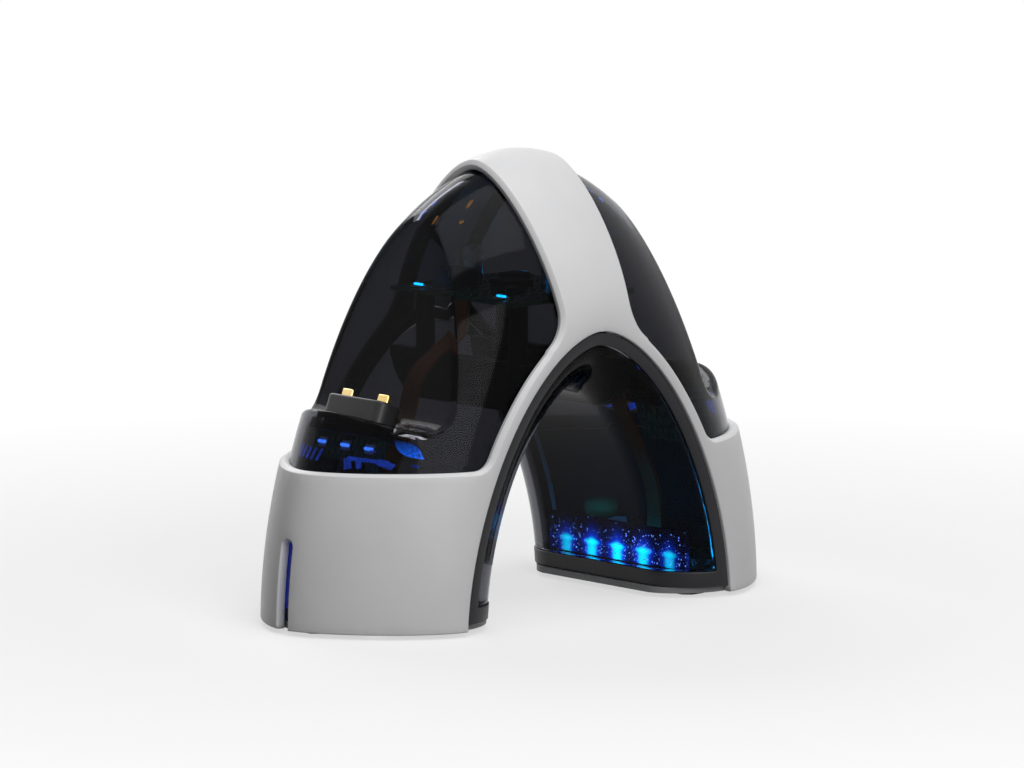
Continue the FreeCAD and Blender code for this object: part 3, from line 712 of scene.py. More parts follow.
# %% Lower edge of a foot with its light slot
GROUND_GAP = shell_low[2]
SLOT_HALF = 2.1
SLOT_TOP = 24.7
SLOT_TURNS = 12
GROUND_SAMPLES = 60
SLOT_SAMPLES = 20
GROUND_SPACING = 1.2
SLOT_SPACING = 1.0
SLOT_TOP_SPACING = 0.5


def foot_edge(surface):
    """Lower edge of the right foot from v = -1 to 1, up round the light slot on its way."""
    def at(y, height):
        v = v_at(y, 0)
        return at_height(surface, v, height), v
    slot_v = at(-SLOT_HALF, GROUND_GAP)[1]
    ground = [(at_height(surface, v, GROUND_GAP), v) for v in np.linspace(-1, slot_v, GROUND_SAMPLES)]
    heights = np.linspace(GROUND_GAP, SLOT_TOP - SLOT_HALF, SLOT_SAMPLES)
    side = [at(-SLOT_HALF, height) for height in heights]
    turns = [math.pi * k / SLOT_TURNS for k in range(SLOT_TURNS + 1)]
    top = [at(-SLOT_HALF * math.cos(t), SLOT_TOP - SLOT_HALF * (1 - math.sin(t))) for t in turns]
    left = ring_of(evenly(ground, surface, GROUND_SPACING), evenly(side, surface, SLOT_SPACING))
    right = [(angle, -v) for angle, v in reversed(left)]
    return left + evenly(top, surface, SLOT_TOP_SPACING) + right


print("foot edge of", len(foot_edge(skin(0))), "places")

# %% [markdown]
# The power inlet sits in a shallow recess in the rear of the right foot. The foot curves away there, so the
# recess runs out to nothing at one end, and its outline is cut off at that end. A Boolean cut would leave
# slivers on the curved wall, so the outline becomes one of the shell's trim lines.

# %% Outline of the inlet's recess
inlet_low, inlet_high = corners("power_inlet")
INLET_X = (inlet_low[0] + inlet_high[0]) / 2
INLET_Z = (inlet_low[2] + inlet_high[2]) / 2
INLET_MOUTH_Y = inlet_high[1]
RECESS_WIDTH = 13.0
RECESS_HEIGHT = 7.6
RECESS_END = 58.7
END_STEPS = 16


def stadium(width, height):
    """Outline with round ends about the inlet's middle, as XZ places."""
    radius = height / 2
    reach = width / 2 - radius
    line = []
    for side in (1, -1):
        for k in range(END_STEPS + 1):
            turn = math.pi * (k / END_STEPS - 0.5)
            line.append(Vector((INLET_X + side * (reach + radius * math.cos(turn)),
                                INLET_Z + side * radius * math.sin(turn))))
    return line


def recess_line(grow=0):
    """The recess as far as the foot's wall stands out past the inlet's mouth, grown by a distance."""
    line = stadium(RECESS_WIDTH + 2 * grow, RECESS_HEIGHT + 2 * grow)
    return [Vector((min(place.x, RECESS_END + grow), place.y)) for place in line]


print("inlet at", INLET_X, INLET_Z, "mm")

# %% [markdown]
# With the trim lines ready, the whole shell is one filled map with three holes: the two side openings and
# the recess. The side openings have a bevel, which shows as a grey line between the white band and the dark
# dome.

# %% The shell
SHELL_WALL = 2.5
EDGE = (0.4, 0.0)            # roll and bevel of the shell's edges
OPENING_EDGE = (0.25, 0.9)
SHELL_INNER_ROLL = 0.3
TUNNEL_EDGE_SAMPLES = 200
TUNNEL_EDGE_SPACING = 1.4
OPENING_SPACING = 1.2
RECESS_SPACING = 0.9
SHELL_GRID = (2.2, 1.7)      # spacing of the filler's points, and their clearance from the outlines


def half_turn(places):
    """Places on the other side of the dock."""
    return [(math.pi - angle, -v) for angle, v in places]


def shell():
    surface = skin(0)
    foot = foot_edge(surface)
    low = foot[-1][0]
    angles = [low + (math.pi - 2 * low) * k / TUNNEL_EDGE_SAMPLES for k in range(TUNNEL_EDGE_SAMPLES + 1)]
    edge = evenly([(angle, 1.0) for angle in angles], surface, TUNNEL_EDGE_SPACING)
    opening = evenly([over(place, 0) for place in side_opening()], surface, OPENING_SPACING)
    opening[0] = (opening[0][0], 0.0)
    opening[-1] = (opening[-1][0], 0.0)
    ring = mirrored_ring(opening)
    recess = [over(place, 0) for place in recess_line()]
    recess = evenly(recess + recess[:1], surface, RECESS_SPACING)[:-1]
    outer = ring_of(foot, edge, half_turn(foot), half_turn(edge))
    outlines = [on_map(line) for line in (outer, ring, half_turn(ring), recess)]
    sheet = lifted(outlines, *SHELL_GRID, surface, (MAP_ANGLE, MAP_V))
    return thick_sheet(*sheet, SHELL_WALL, (EDGE, OPENING_EDGE, OPENING_EDGE, EDGE), SHELL_INNER_ROLL)


put("shell", *shell(), "shell_white", "outer_shell")

# %% [markdown]
# Each cradle is a smoked dome with a pocket pressed into it: a sloping seat, a rounded corner and a tall
# back wall. The pocket is a straight sheet along Y, so its map is the run along its line and y. Both maps
# share the points of the edge where they meet, which lets a soft round join them.

# %% Pocket of a cradle
CRADLE_INSET = 2.7
CRADLE_WALL = 2.0
LIP_HEIGHT = 57.5      # outer edge of the seat
BROW_HEIGHT = 104.5    # upper end of the pocket
SEAT_DEPTH = 20.0
SEAT_DROP = 7.5
SEAT_CORNER = 7.0
POCKET_SPACING = 1.2


def on_middle(height):
    """Place on the middle line of a cradle's skin at a height."""
    surface = skin(CRADLE_INSET)
    point = surface(at_height(surface, 0, height), 0)
    return Vector((point.x, point.z))


seat_corner = on_middle(LIP_HEIGHT) - Vector((SEAT_DEPTH, SEAT_DROP))
seat_way = Vector((SEAT_DEPTH, SEAT_DROP)).normalized()
back_way = (on_middle(BROW_HEIGHT) - seat_corner).normalized()


def pocket_line(grow):
    """Seat, corner and back wall in the XZ plane, from the lip to the brow, drawn back by a wall."""
    inset = CRADLE_INSET + grow
    corner = seat_corner - (seat_way + back_way) * (grow / math.sin(seat_way.angle(back_way)))
    seat = to_skin(corner, seat_way, inset)[::-1]
    back = to_skin(corner, back_way, inset)
    return rounded(seat + back[1:], len(seat) - 1, SEAT_CORNER + grow)


def pocket_sheet(grow):
    """Line of a pocket, runs of its places and its surface over run and y."""
    line = pocket_line(grow)
    run = np.concatenate([[0], np.cumsum([(b - a).length for a, b in zip(line, line[1:])])])
    x = [place.x for place in line]
    z = [place.y for place in line]

    def point(along, y):
        return Vector((np.interp(along, run, x), y, np.interp(along, run, z)))
    return line, run, point


def pocket_rim(grow):
    """Edge of a pocket on the side of positive y: its runs, y, angles and v."""
    inset = CRADLE_INSET + grow
    line, run, sheet = pocket_sheet(grow)
    rim = []
    for place, along in zip(line, run):
        angle, v = over(place, inset)
        rim.append((along, oval(v)[0] * (HALF_WIDTH - inset), angle, v))
    rim[0] = (run[0], 0.0, rim[0][2], 0.0)
    rim[-1] = (run[-1], 0.0, rim[-1][2], 0.0)
    surface = skin(inset)
    return evenly(rim, lambda along, y, angle, v: surface(angle, v), POCKET_SPACING)


print("seat corner at", [round(value, 1) for value in seat_corner], "mm")

# %% [markdown]
# The dome's outer border is hidden: it runs on behind the shell's rim, strips and band. The seat has an
# oblong hole for the connector. With these outlines, each side of the cradle's wall is two filled maps.

# %% Skins of a cradle
CRADLE_TUCK = 4.0      # how far the dome runs on behind the shell
NUB_PLACE = 0.36       # along the seat, from its inner corner
NUB_HOLE_WIDTH = 22.4
NUB_HOLE_DEPTH = 8.4
NUB_HOLE_CORNER = 2.7
NUB_HOLE_SPACING = 1.1
OBLONG_STEPS = 5             # in each round corner
LEG_ANGLE = 0.3              # searches in the upper half of the arch start there
BORDER_SAMPLES = 61
BORDER_SIDE_SAMPLES = 81
DOME_GRID = (2.2, 2.0)
POCKET_GRID = (2.0, 2.0)


def dome_border(inset):
    """Hidden edge of a dome, tucked behind the rim, the strips and the band."""
    surface = skin(inset)
    crossings = np.linspace(-1, 1, BORDER_SAMPLES)
    low = [(at_height(surface, v, RIM_HEIGHT - CRADLE_TUCK), v) for v in crossings]
    end = BAND_NECK - CRADLE_TUCK
    high = [(solve(LEG_ANGLE, math.pi / 2, lambda angle: surface(angle, v).x - end), v) for v in crossings]
    side = [(angle, 1.0) for angle in np.linspace(low[-1][0], high[-1][0], BORDER_SIDE_SAMPLES)]
    other_side = [(angle, -v) for angle, v in reversed(side)]
    return ring_of(low, side, high[::-1], other_side)


def rounded_oblong(depth, width, corner):
    """Outline of an oblong with round corners, as xy places."""
    line = []
    for side_x, side_y, start in ((1, 1, 0), (-1, 1, 1), (-1, -1, 2), (1, -1, 3)):
        for k in range(OBLONG_STEPS + 1):
            bend = math.pi / 2 * (start + k / OBLONG_STEPS)
            line.append((side_x * (depth / 2 - corner) + corner * math.cos(bend),
                         side_y * (width / 2 - corner) + corner * math.sin(bend)))
    return line


def nub_hole(grow):
    """Hole for the connector through the seat, square to it, on the pocket's map."""
    line, run, sheet = pocket_sheet(grow)
    depths = [(place - seat_corner).dot(seat_way) for place in line]
    turn = int(np.argmin(depths))
    middle = NUB_PLACE * math.hypot(SEAT_DEPTH, SEAT_DROP)
    hole = [(middle + x, y) for x, y in rounded_oblong(NUB_HOLE_DEPTH, NUB_HOLE_WIDTH, NUB_HOLE_CORNER)]
    hole = evenly(hole + hole[:1], lambda depth, y: Vector((depth, y, 0)), NUB_HOLE_SPACING)[:-1]
    return [(np.interp(-depth, [-d for d in depths[:turn + 1]], run[:turn + 1]), y) for depth, y in hole]


def cradle_skins(grow):
    """Dome and pocket of one side of a cradle's wall."""
    rim = pocket_rim(grow)
    inset = CRADLE_INSET + grow
    edge = on_map(mirrored_ring([(angle, v) for along, y, angle, v in rim]))
    dome = lifted([on_map(dome_border(inset)), edge], *DOME_GRID, skin(inset), (MAP_ANGLE, MAP_V))
    edge = mirrored_ring([(along, y) for along, y, angle, v in rim])
    pocket = lifted([edge, nub_hole(grow)], *POCKET_GRID, pocket_sheet(grow)[2], (1, 1))
    return dome, pocket


print("border of", len(dome_border(CRADLE_INSET)), "places")

# %% [markdown]
# The outer dome and pocket are joined by the soft round, a strip of short Bezier curves over the corner
# where they would meet. The inner ones meet at a plain edge, and the hidden borders and the hole for the
# connector are closed with plain strips.

# %% The cradles
POCKET_ROUND = 1.5
ROUND_STEPS = 6


def cradle():
    made = []
    skins = []
    rings = {}
    for side, grow in (("outer", 0), ("inner", CRADLE_WALL)):
        for name, (points, normals, faces, borders) in zip(("dome", "pocket"), cradle_skins(grow)):
            first = len(made)
            free, edge = borders if name == "dome" else borders[::-1]
            rings[side, name] = [i + first for i in edge]
            rings[side, name, "free"] = [i + first for i in free]
            if side == "outer":
                corners_of_edge = [points[i] for i in edge]
                for way, i in zip(rim_ways(points, normals, faces, edge), edge):
                    points[i] = points[i] - way * POCKET_ROUND
            made += points
            skins += [[i + first for i in face] for face in faces]
    steps = [rings["outer", "dome"]]
    for k in range(1, ROUND_STEPS):
        t = k / ROUND_STEPS
        steps.append(list(range(len(made), len(made) + len(corners_of_edge))))
        for start, middle, end in zip(rings["outer", "dome"], corners_of_edge, rings["outer", "pocket"]):
            made.append(made[start] * (1 - t) ** 2 + middle * (2 * t * (1 - t)) + made[end] * t * t)
    steps.append(rings["outer", "pocket"])
    for first, second in zip(steps, steps[1:]):
        skins += bridge(first, second)
    for name in ("dome", "pocket"):
        skins += bridge(rings["outer", name, "free"], rings["inner", name, "free"])
    return made, skins


both_sides("cradle_dome", [cradle()], "smoked_clear", "cradle", crisp=None)

# %% [markdown]
# The tunnel is lined with one more swept surface: flat in the middle, rounded at both sides. A bent sheet
# with bevelled sides would be simpler, but it would show a crease where the lining turns smoothly, so the
# sides are a Bezier curve again. The second coordinate is about the distance across from the middle.

# %% The lining as a surface
frame_low, frame_high = corners("tunnel_frame")
LINING_HALF = frame_high[1]
LINING_FLAT = 20.0
LINING_FULLNESS = 0.6
LINING_START = -0.3    # sides of the lining, out from the tunnel's edge
TUNNEL_BULGE = 16.0    # how far the lining's middle comes into the tunnel from its edge
SILL_SAMPLES = 80
SIDE_SAMPLES = 240
LINING_SPACING = 1.3


def lining(inset):
    """Surface of the lining, drawn back by an inset, and its reach across."""
    half = LINING_HALF - inset
    depth = TUNNEL_BULGE - inset
    handle = LINING_START - LINING_FULLNESS * (depth + LINING_START)
    bend = LINING_FLAT + (1 - LINING_FULLNESS) * (half - LINING_FLAT)
    reach = 3 * (bend - LINING_FLAT)

    def point(angle, across):
        edge, way, _ = station(angle)
        t = (abs(across) - LINING_FLAT) / reach
        y = abs(across)
        out = -depth
        if t > 0:
            shares = ((1 - t) ** 3, 3 * (1 - t) ** 2 * t, 3 * (1 - t) * t * t, t ** 3)
            y = sum(s * c for s, c in zip(shares, (LINING_FLAT, bend, half, half)))
            out = sum(s * c for s, c in zip(shares, (-depth, -depth, handle, LINING_START)))
        place = edge + way * out
        return Vector((place.x, -math.copysign(y, across), place.y))
    return point, LINING_FLAT + reach


def lining_ring(surface, half, sill):
    """Ring round the lining's map: along both sills, and over the tunnel at one distance across."""
    low = [(at_height(surface, c, sill), c) for c in np.linspace(-half, half, SILL_SAMPLES)]
    low = evenly(low, surface, LINING_SPACING)
    start = low[-1][0]
    angles = np.linspace(start, math.pi - start, SIDE_SAMPLES)
    side = evenly([(angle, half) for angle in angles], surface, LINING_SPACING)
    around = ring_of(low, side)
    return around + half_turn(around)


print("lining reaches", round(lining(0)[1], 1), "mm across")

# %% [markdown]
# A dark frame borders the lining, and a smoked window lies in the frame, sunk a little and with some play
# all round. They could be one mesh with two materials, but two pieces give the fine gap between them. The
# same filler makes both, and only their rings differ.

# %% Frame and window of the tunnel
FRAME_FOOT = frame_low[2]
FRAME_SILL = 7.0
FRAME_BORDER = 2.2
FRAME_WALL = 2.2
FRAME_ROLL = 0.35
WINDOW_SINK = 0.3
WINDOW_PLAY = 0.2
WINDOW_WALL = 1.9
WINDOW_ROLL = 0.3
LINING_INNER_ROLL = 0.2
MAP_LINING = 48.0      # map units for an angle of 1
LINING_GRID = (2.0, 1.2)


def lining_sheet(surface, rings, wall, roll):
    maps = [[(angle * MAP_LINING, across) for angle, across in ring] for ring in rings]
    sheet = lifted(maps, *LINING_GRID, surface, (MAP_LINING, 1))
    return thick_sheet(*sheet, wall, [(roll, 0)] * len(rings), LINING_INNER_ROLL)


def lining_frame():
    surface, reach = lining(0)
    rings = [lining_ring(surface, reach, FRAME_FOOT), lining_ring(surface, reach - FRAME_BORDER, FRAME_SILL)]
    return lining_sheet(surface, rings, FRAME_WALL, FRAME_ROLL)


def lining_window():
    surface, reach = lining(WINDOW_SINK)
    pane = lining_ring(surface, reach - FRAME_BORDER - WINDOW_PLAY, FRAME_SILL + WINDOW_PLAY)
    return lining_sheet(surface, [pane], WINDOW_WALL, WINDOW_ROLL)


put("lining_frame", *lining_frame(), "frame_black", "tunnel_frame")
put("lining_window", *lining_window(), "smoked_clear", "tunnel_window")

# %% [markdown]
# Small parts are rounded blocks, domes, turned posts and stacks of rings. They could be objects of their
# own with modifiers, but hundreds of them would be slow to handle. Each helper returns points and faces
# instead, so any number of parts can be gathered in one mesh, and a matrix sets each part in place.

# %% Helpers for small parts
UPRIGHT = Matrix.Identity(4)
DOME_SEGMENTS = 20
DOME_RINGS = 12


def placed(shape, size, place, at):
    """Points and faces of a shape that is scaled, shifted and then set in place."""
    move = at @ Matrix.Translation(place) @ Matrix.Diagonal((*size, 1))
    shape.verts.index_update()
    points = [move @ vert.co for vert in shape.verts]
    faces = [[vert.index for vert in face.verts] for face in shape.faces]
    shape.free()
    return points, faces


def block(size, place, edge, at=UPRIGHT, steps=2):
    """Block with rounded edges about a place."""
    shape = bmesh.new()
    bmesh.ops.create_cube(shape, size=1.0)
    bmesh.ops.scale(shape, vec=size, verts=shape.verts)
    bmesh.ops.bevel(shape, geom=shape.edges[:], offset=edge, segments=steps, profile=0.5, affect="EDGES")
    return placed(shape, (1, 1, 1), place, at)


def dome(size, place, at=UPRIGHT):
    """Ball squashed to a size, used as a lens."""
    shape = bmesh.new()
    bmesh.ops.create_uvsphere(shape, u_segments=DOME_SEGMENTS, v_segments=DOME_RINGS, radius=0.5)
    return placed(shape, size, place, at)


def stack(rings, closed=False):
    """Rings with equal counts of points, joined in a row; it is closed to a loop or capped at both ends."""
    count = len(rings[0])
    rows = [list(range(k * count, (k + 1) * count)) for k in range(len(rings))]
    pairs = list(zip(rows, rows[1:])) + ([(rows[-1], rows[0])] if closed else [])
    faces = [quad for first, second in pairs for quad in bridge(first, second)]
    if not closed:
        faces += [rows[0], rows[-1]]
    return [point for ring in rings for point in ring], faces


def turning(profile, place, segments=32):
    """Part turned about its upright axis from a profile of (radius, height) pairs."""
    turns = [2 * math.pi * k / segments for k in range(segments)]
    return stack([[Vector(place) + Vector((radius * math.cos(turn), radius * math.sin(turn), height))
                   for turn in turns] for radius, height in profile])


print("block of", len(block((2, 2, 2), (0, 0, 0), 0.2)[1]), "faces")

# %% [markdown]
# The dock glows because of small surface lamps: a row on the board in each foot, one under each light
# guide, three behind each seat and four in the crown. A matrix holds each lamp's place, with z along its
# beam, so that one drawing of a lamp serves everywhere.

# %% Places of the lamps
LAMP_HALF_LENGTH = 1.4
LAMP_HALF_WIDTH = 1.75
LAMP_PITCH = 10.0
LAMP_COUNT = 5
CHARGE_FACE = 1.8      # face of the seat's board, from the connector's middle
CHARGE_LAMP_Z = -6.8
CHARGE_BOARD_WIDTH = 28.0
CHARGE_LAMP_PITCH = CHARGE_BOARD_WIDTH / 3
LAMP_BOARD_TOP = corners("lamp_board_right")[1][2]
MAIN_BOARD_LOW = corners("main_board")[0][2]
MAIN_BOARD_TOP = corners("main_board")[1][2]
row_low, row_high = corners("lamps_right", 1)
LAMP_ROW_X = row_low[0] + LAMP_HALF_LENGTH
PIPE_LAMP_X = row_high[0] - LAMP_HALF_LENGTH
crown_corner = corners("main_board_lamps")[1]
MAIN_LAMP_X = crown_corner[0] - LAMP_HALF_LENGTH
MAIN_LAMP_Y = crown_corner[1] - LAMP_HALF_WIDTH


def seat_matrix():
    """Place of the connector's foot on the right seat, with x along the seat and z out of it."""
    foot = seat_corner + Vector((SEAT_DEPTH, SEAT_DROP)) * NUB_PLACE
    tilt = Matrix.Rotation(-math.atan2(SEAT_DROP, SEAT_DEPTH), 4, "Y")
    return Matrix.Translation((foot.x, 0, foot.y)) @ tilt


def foot_lamps():
    """Places along the lamp board and under the light guide."""
    row = [(LAMP_ROW_X, (k - (LAMP_COUNT - 1) / 2) * LAMP_PITCH) for k in range(LAMP_COUNT)]
    return [Matrix.Translation((x, y, LAMP_BOARD_TOP)) for x, y in row + [(PIPE_LAMP_X, 0)]]


def seat_lamps():
    aside = Matrix.Rotation(math.pi / 2, 4, "Y")
    spots = [(CHARGE_FACE, k * CHARGE_LAMP_PITCH, CHARGE_LAMP_Z) for k in (-1, 0, 1)]
    return [seat_matrix() @ Matrix.Translation(spot) @ aside for spot in spots]


def crown_lamps():
    spots = [(x * MAIN_LAMP_X, y * MAIN_LAMP_Y, MAIN_BOARD_TOP) for x in (-1, 1) for y in (-1, 1)]
    return [Matrix.Translation(spot) for spot in spots]


print(len(foot_lamps()), len(seat_lamps()), len(crown_lamps()), "lamps in a foot, a seat and the crown")

# %% [markdown]
# A lamp is a white cup with a clear lens on it, and only the lens gives out light. A flat lit disc would be
# enough from straight ahead, but a dome shows its light to every side, so the foot lamps have one. Behind
# the seats and in the crown the lenses are low and narrow, and they show as dashes of light.

# %% Lamps
CUP_SIZE = (2 * LAMP_HALF_LENGTH, 2 * LAMP_HALF_WIDTH, 0.6)
LENS_SIZE = (2.6, 3.3, 3.0)
DASH_SIZE = (0.8, 3.2, 0.7)
DASH_HEIGHT = 0.75     # middle of the lens over the board


def cup(at):
    return block(CUP_SIZE, (0, 0, CUP_SIZE[2] / 2), edge=0.2, at=at)


def lens(at):
    """Clear dome on a cup."""
    return dome(LENS_SIZE, (0, 0, CUP_SIZE[2] / 2 + LENS_SIZE[2] / 3), at)


def flat_lens(at):
    """Low, narrow lens that shows as a dash of light."""
    return block(DASH_SIZE, (0, 0, DASH_HEIGHT), edge=0.24, at=at, steps=4)


both_sides("foot_lamp_cups", [cup(at) for at in foot_lamps()], "shell_white")
both_sides("foot_lamp_lenses", [lens(at) for at in foot_lamps()], "lamp_blue", "lamps")
both_sides("seat_lamp_cups", [cup(at) for at in seat_lamps()], "shell_white")
seat_lenses = [flat_lens(at) for at in seat_lamps()]
both_sides("seat_lamp_lenses", seat_lenses, "lamp_blue", "charge_lamps", finish="seat_dash")
put("crown_lamp_cups", *gather([cup(at) for at in crown_lamps()]), "shell_white", crisp=CRISP)
put("crown_lamp_lenses", *gather([flat_lens(at) for at in crown_lamps()]), "lamp_blue", "main_board_lamps")

# %% [markdown]
# Before each row of lamps stands a thin dark sheet, and the lamps' glow is painted on it by emission. It
# shows a painted star of light at each lamp, made of an upright column and a thin level ray, in a faint haze
# that fades upwards and to both ends. The shader works the star out from the distance to the nearest lamp:
# Ping-Pong folds the row onto one lamp.

# %% Painted lamp glow on the dark sheet
STAR_HEIGHT = 1.2 * MM       # middle of a star over the lamp board
COLUMN_WIDTH = 2.2 * MM
COLUMN_HEIGHT = 3.6 * MM
RAY_HEIGHT = 2.2 * MM        # over the star's middle
RAY_WIDTH = 0.7 * MM
RAY_SHARE = 0.7
HAZE_HEIGHT = 5.5 * MM
HAZE_SHARE = 0.03
ROW_FADE = 22.5 * MM
STAR_STRENGTH = 15.0
HILL_BASE = 0.37             # height of a hill at its width


def hill(tree, distance, width):
    """Smooth hump that is 1 where a distance is 0 and falls off within a width."""
    share = reckon(tree, "DIVIDE", distance, width)
    return reckon(tree, "POWER", HILL_BASE, reckon(tree, "MULTIPLY", share, share))


def painted_lamp_glow():
    tree = new_finish("painted_lamp_glow")
    place = shader_node(tree, "SeparateXYZ", {"Vector": place_of(tree)}).outputs
    half_pitch = LAMP_PITCH * MM / 2
    along = reckon(tree, "PINGPONG", place["Y"], half_pitch)
    above = reckon(tree, "SUBTRACT", place["Z"], LAMP_BOARD_TOP * MM + STAR_HEIGHT)
    column = reckon(tree, "MULTIPLY", hill(tree, along, COLUMN_WIDTH), hill(tree, above, COLUMN_HEIGHT))
    taper = reckon(tree, "SUBTRACT", 1.0, reckon(tree, "DIVIDE", along, half_pitch))
    level = hill(tree, reckon(tree, "SUBTRACT", above, RAY_HEIGHT), RAY_WIDTH)
    ray = reckon(tree, "MULTIPLY", reckon(tree, "MULTIPLY", taper, RAY_SHARE), level)
    star = reckon(tree, "ADD", column, ray)
    haze = reckon(tree, "MULTIPLY", hill(tree, above, HAZE_HEIGHT), HAZE_SHARE)
    faded = reckon(tree, "MULTIPLY", reckon(tree, "ADD", star, haze), hill(tree, place["Y"], ROW_FADE))
    # painted glow: the lamps' star and haze are emission on a dark sheet that is no lamp
    set_shader(tree, {
        "Base Color": two_tone(tree, noise(tree, 900), (0.01, 0.012, 0.02), (0.02, 0.022, 0.035)),
        "Emission Color": two_tone(tree, star, (0.0, 0.06, 1.0), (0.0, 0.62, 1.0)),
        "Emission Strength": reckon(tree, "MULTIPLY", faded, STAR_STRENGTH),
        "Roughness": 0.5,
    })


painted_lamp_glow()
print("glow of", LAMP_COUNT, "stars ready")

# %% [markdown]
# Fine flakes in the sheet carry a painted sparkle: each glows by emission, though it is no lamp. A noise in
# the shader could paint them, but little flakes of their own stay sharp from near. They are scattered with a
# fixed seed, so that every run gives the same ones, and they are denser near the lamps because their height
# follows a bell curve.

# %% Dark sheet and its flakes with painted sparkle
GLOW_SHEET_X = 38.6
GLOW_SHEET_HALF = 27.0
GLOW_SHEET_TOP = 17.0
GLOW_SHEET_WALL = 0.8
FLAKE_COUNT = 320
FLAKE_SEED = 5
FLAKE_LOW = 0.5              # over the lamp board
FLAKE_SPREAD = 4.2
FLAKE_SIZES = (0.2, 0.45)
FLAKE_FLATNESS = 0.5
FLAKE_SPIN = 3               # largest turn, in radians
FLAKE_OUT = 0.5              # before the middle of the sheet


def flakes():
    """Tiny flakes with a painted sparkle over the lamps, denser near them."""
    dice = random.Random(FLAKE_SEED)
    parts = []
    for k in range(FLAKE_COUNT):
        y = dice.uniform(-GLOW_SHEET_HALF, GLOW_SHEET_HALF)
        z = LAMP_BOARD_TOP + FLAKE_LOW + abs(dice.gauss(0, FLAKE_SPREAD))
        size = dice.uniform(*FLAKE_SIZES)
        spin = Matrix.Rotation(dice.uniform(0, FLAKE_SPIN), 4, "X")
        if z < GLOW_SHEET_TOP:
            shape = bmesh.new()
            bmesh.ops.create_icosphere(shape, subdivisions=1, radius=0.5)
            at = Matrix.Translation((GLOW_SHEET_X - FLAKE_OUT, y, z)) @ spin
            parts.append(placed(shape, (size * FLAKE_FLATNESS, size, size), (0, 0, 0), at))
    return parts


def dark_glow_sheet():
    size = (GLOW_SHEET_WALL, 2 * GLOW_SHEET_HALF, GLOW_SHEET_TOP - LAMP_BOARD_TOP)
    return block(size, (GLOW_SHEET_X, 0, (GLOW_SHEET_TOP + LAMP_BOARD_TOP) / 2), edge=0.3)


# the sheet carries the painted lamp glow, and the flakes a painted sparkle
both_sides("painted_glow_sheet", [dark_glow_sheet()], "pipe_blue", finish="painted_lamp_glow")
both_sides("painted_sparkle_flakes", flakes(), "lamp_blue", crisp=None, finish="painted_sparkle_blue")

# %% [markdown]
# A dark liner stands inside each foot's wall, so that the light doesn't shine through the white plastic. It
# is one more thin wall on the arch's skin, in two halves beside the light guide, with a notch round the
# inlet.

# %% Dark liner in the feet
LINER_INSET = 2.65
LINER_LOW = 7.2
LINER_TOP = 38.0
LINER_WALL = 0.5
LINER_ROLL = 0.1
LINER_NOTCH = 9.0            # half length of the notch
LINER_NOTCH_TOP = 13.0
LINER_ENDS = (0.13, 0.97)    # v beside the light guide and at the tunnel's edge
LINER_SAMPLES = 61
LINER_END_SAMPLES = 20
LINER_GRID = (3.0, 1.5)


def liner_half():
    """Liner on the side of positive y, from beside the light guide to the tunnel's edge."""
    surface = skin(LINER_INSET)
    crossings = np.linspace(*LINER_ENDS, LINER_SAMPLES)

    def low_height(v):
        beside = surface(at_height(surface, v, LINER_NOTCH_TOP), v).x
        return LINER_NOTCH_TOP if abs(beside - INLET_X) < LINER_NOTCH else LINER_LOW
    low = [(at_height(surface, v, low_height(v)), v) for v in crossings]
    high = [(at_height(surface, v, LINER_TOP), v) for v in crossings[::-1]]

    def end(start, stop, v):
        return [(angle, v) for angle in np.linspace(start, stop, LINER_END_SAMPLES)]
    outer_end = end(low[-1][0], high[0][0], crossings[-1])
    inner_end = end(high[-1][0], low[0][0], crossings[0])
    ring = ring_of(low, outer_end, high, inner_end)
    sheet = lifted([on_map(ring)], *LINER_GRID, surface, (MAP_ANGLE, MAP_V))
    return thick_sheet(*sheet, LINER_WALL, [(LINER_ROLL, 0)], LINER_ROLL)


def liner():
    points, faces = liner_half()
    return [(points, faces), ([Vector((point.x, -point.y, point.z)) for point in points], faces)]


both_sides("foot_liner", liner(), "frame_black")

# %% [markdown]
# A dim green status light sits on the liner over the power inlet. Only its soft patch of light shows
# through the smoked window, so its strength falls off from the middle of the lens to its edge. A dark hood
# keeps the lamp of the light guide out of sight.

# %% Status light and lamp hood
STATUS_X = 57.0
STATUS_Z = 15.7
STATUS_SIZE = (14.0, 7.0, 0.8)
STATUS_WIDTH = 4.2 * MM      # half width of the glow
STATUS_FLATTEN = 2.2         # the glow is that much wider than high
HOOD_SIZE = (0.8, 7.5, 6.5)
HOOD_GAP = 2.6               # from the lamp's middle


def status_matrix():
    """Place on the liner's inner face, with z out of it."""
    angle, v = over(Vector((STATUS_X, STATUS_Z)), LINER_INSET + LINER_WALL)
    inward = -facing(skin(LINER_INSET), angle, v)
    spot = skin(LINER_INSET + LINER_WALL)(angle, v)
    return Matrix.Translation(spot) @ inward.to_track_quat("Z", "Y").to_matrix().to_4x4()


def status_glow(centre):
    """Green light that is brightest at a centre, in metres, and fades round it."""
    tree = new_finish("status_glow")
    away = shader_node(tree, "VectorMath", {0: place_of(tree), 1: centre}, operation="SUBTRACT")
    flat = {0: away.outputs["Vector"], 1: (1, 1, STATUS_FLATTEN)}
    flat = shader_node(tree, "VectorMath", flat, operation="MULTIPLY")
    distance = shader_node(tree, "VectorMath", {0: flat.outputs["Vector"]}, operation="LENGTH")
    patch = hill(tree, distance.outputs["Value"], STATUS_WIDTH)
    uneven = spread(tree, noise(tree, 700), 0.4, 0.6)
    set_shader(tree, {
        "Base Color": two_tone(tree, noise(tree, 900), (0.01, 0.013, 0.012), (0.015, 0.02, 0.018)),
        "Emission Color": (0.0, 0.5, 0.38, 1),
        "Emission Strength": reckon(tree, "MULTIPLY", patch, uneven),
    })


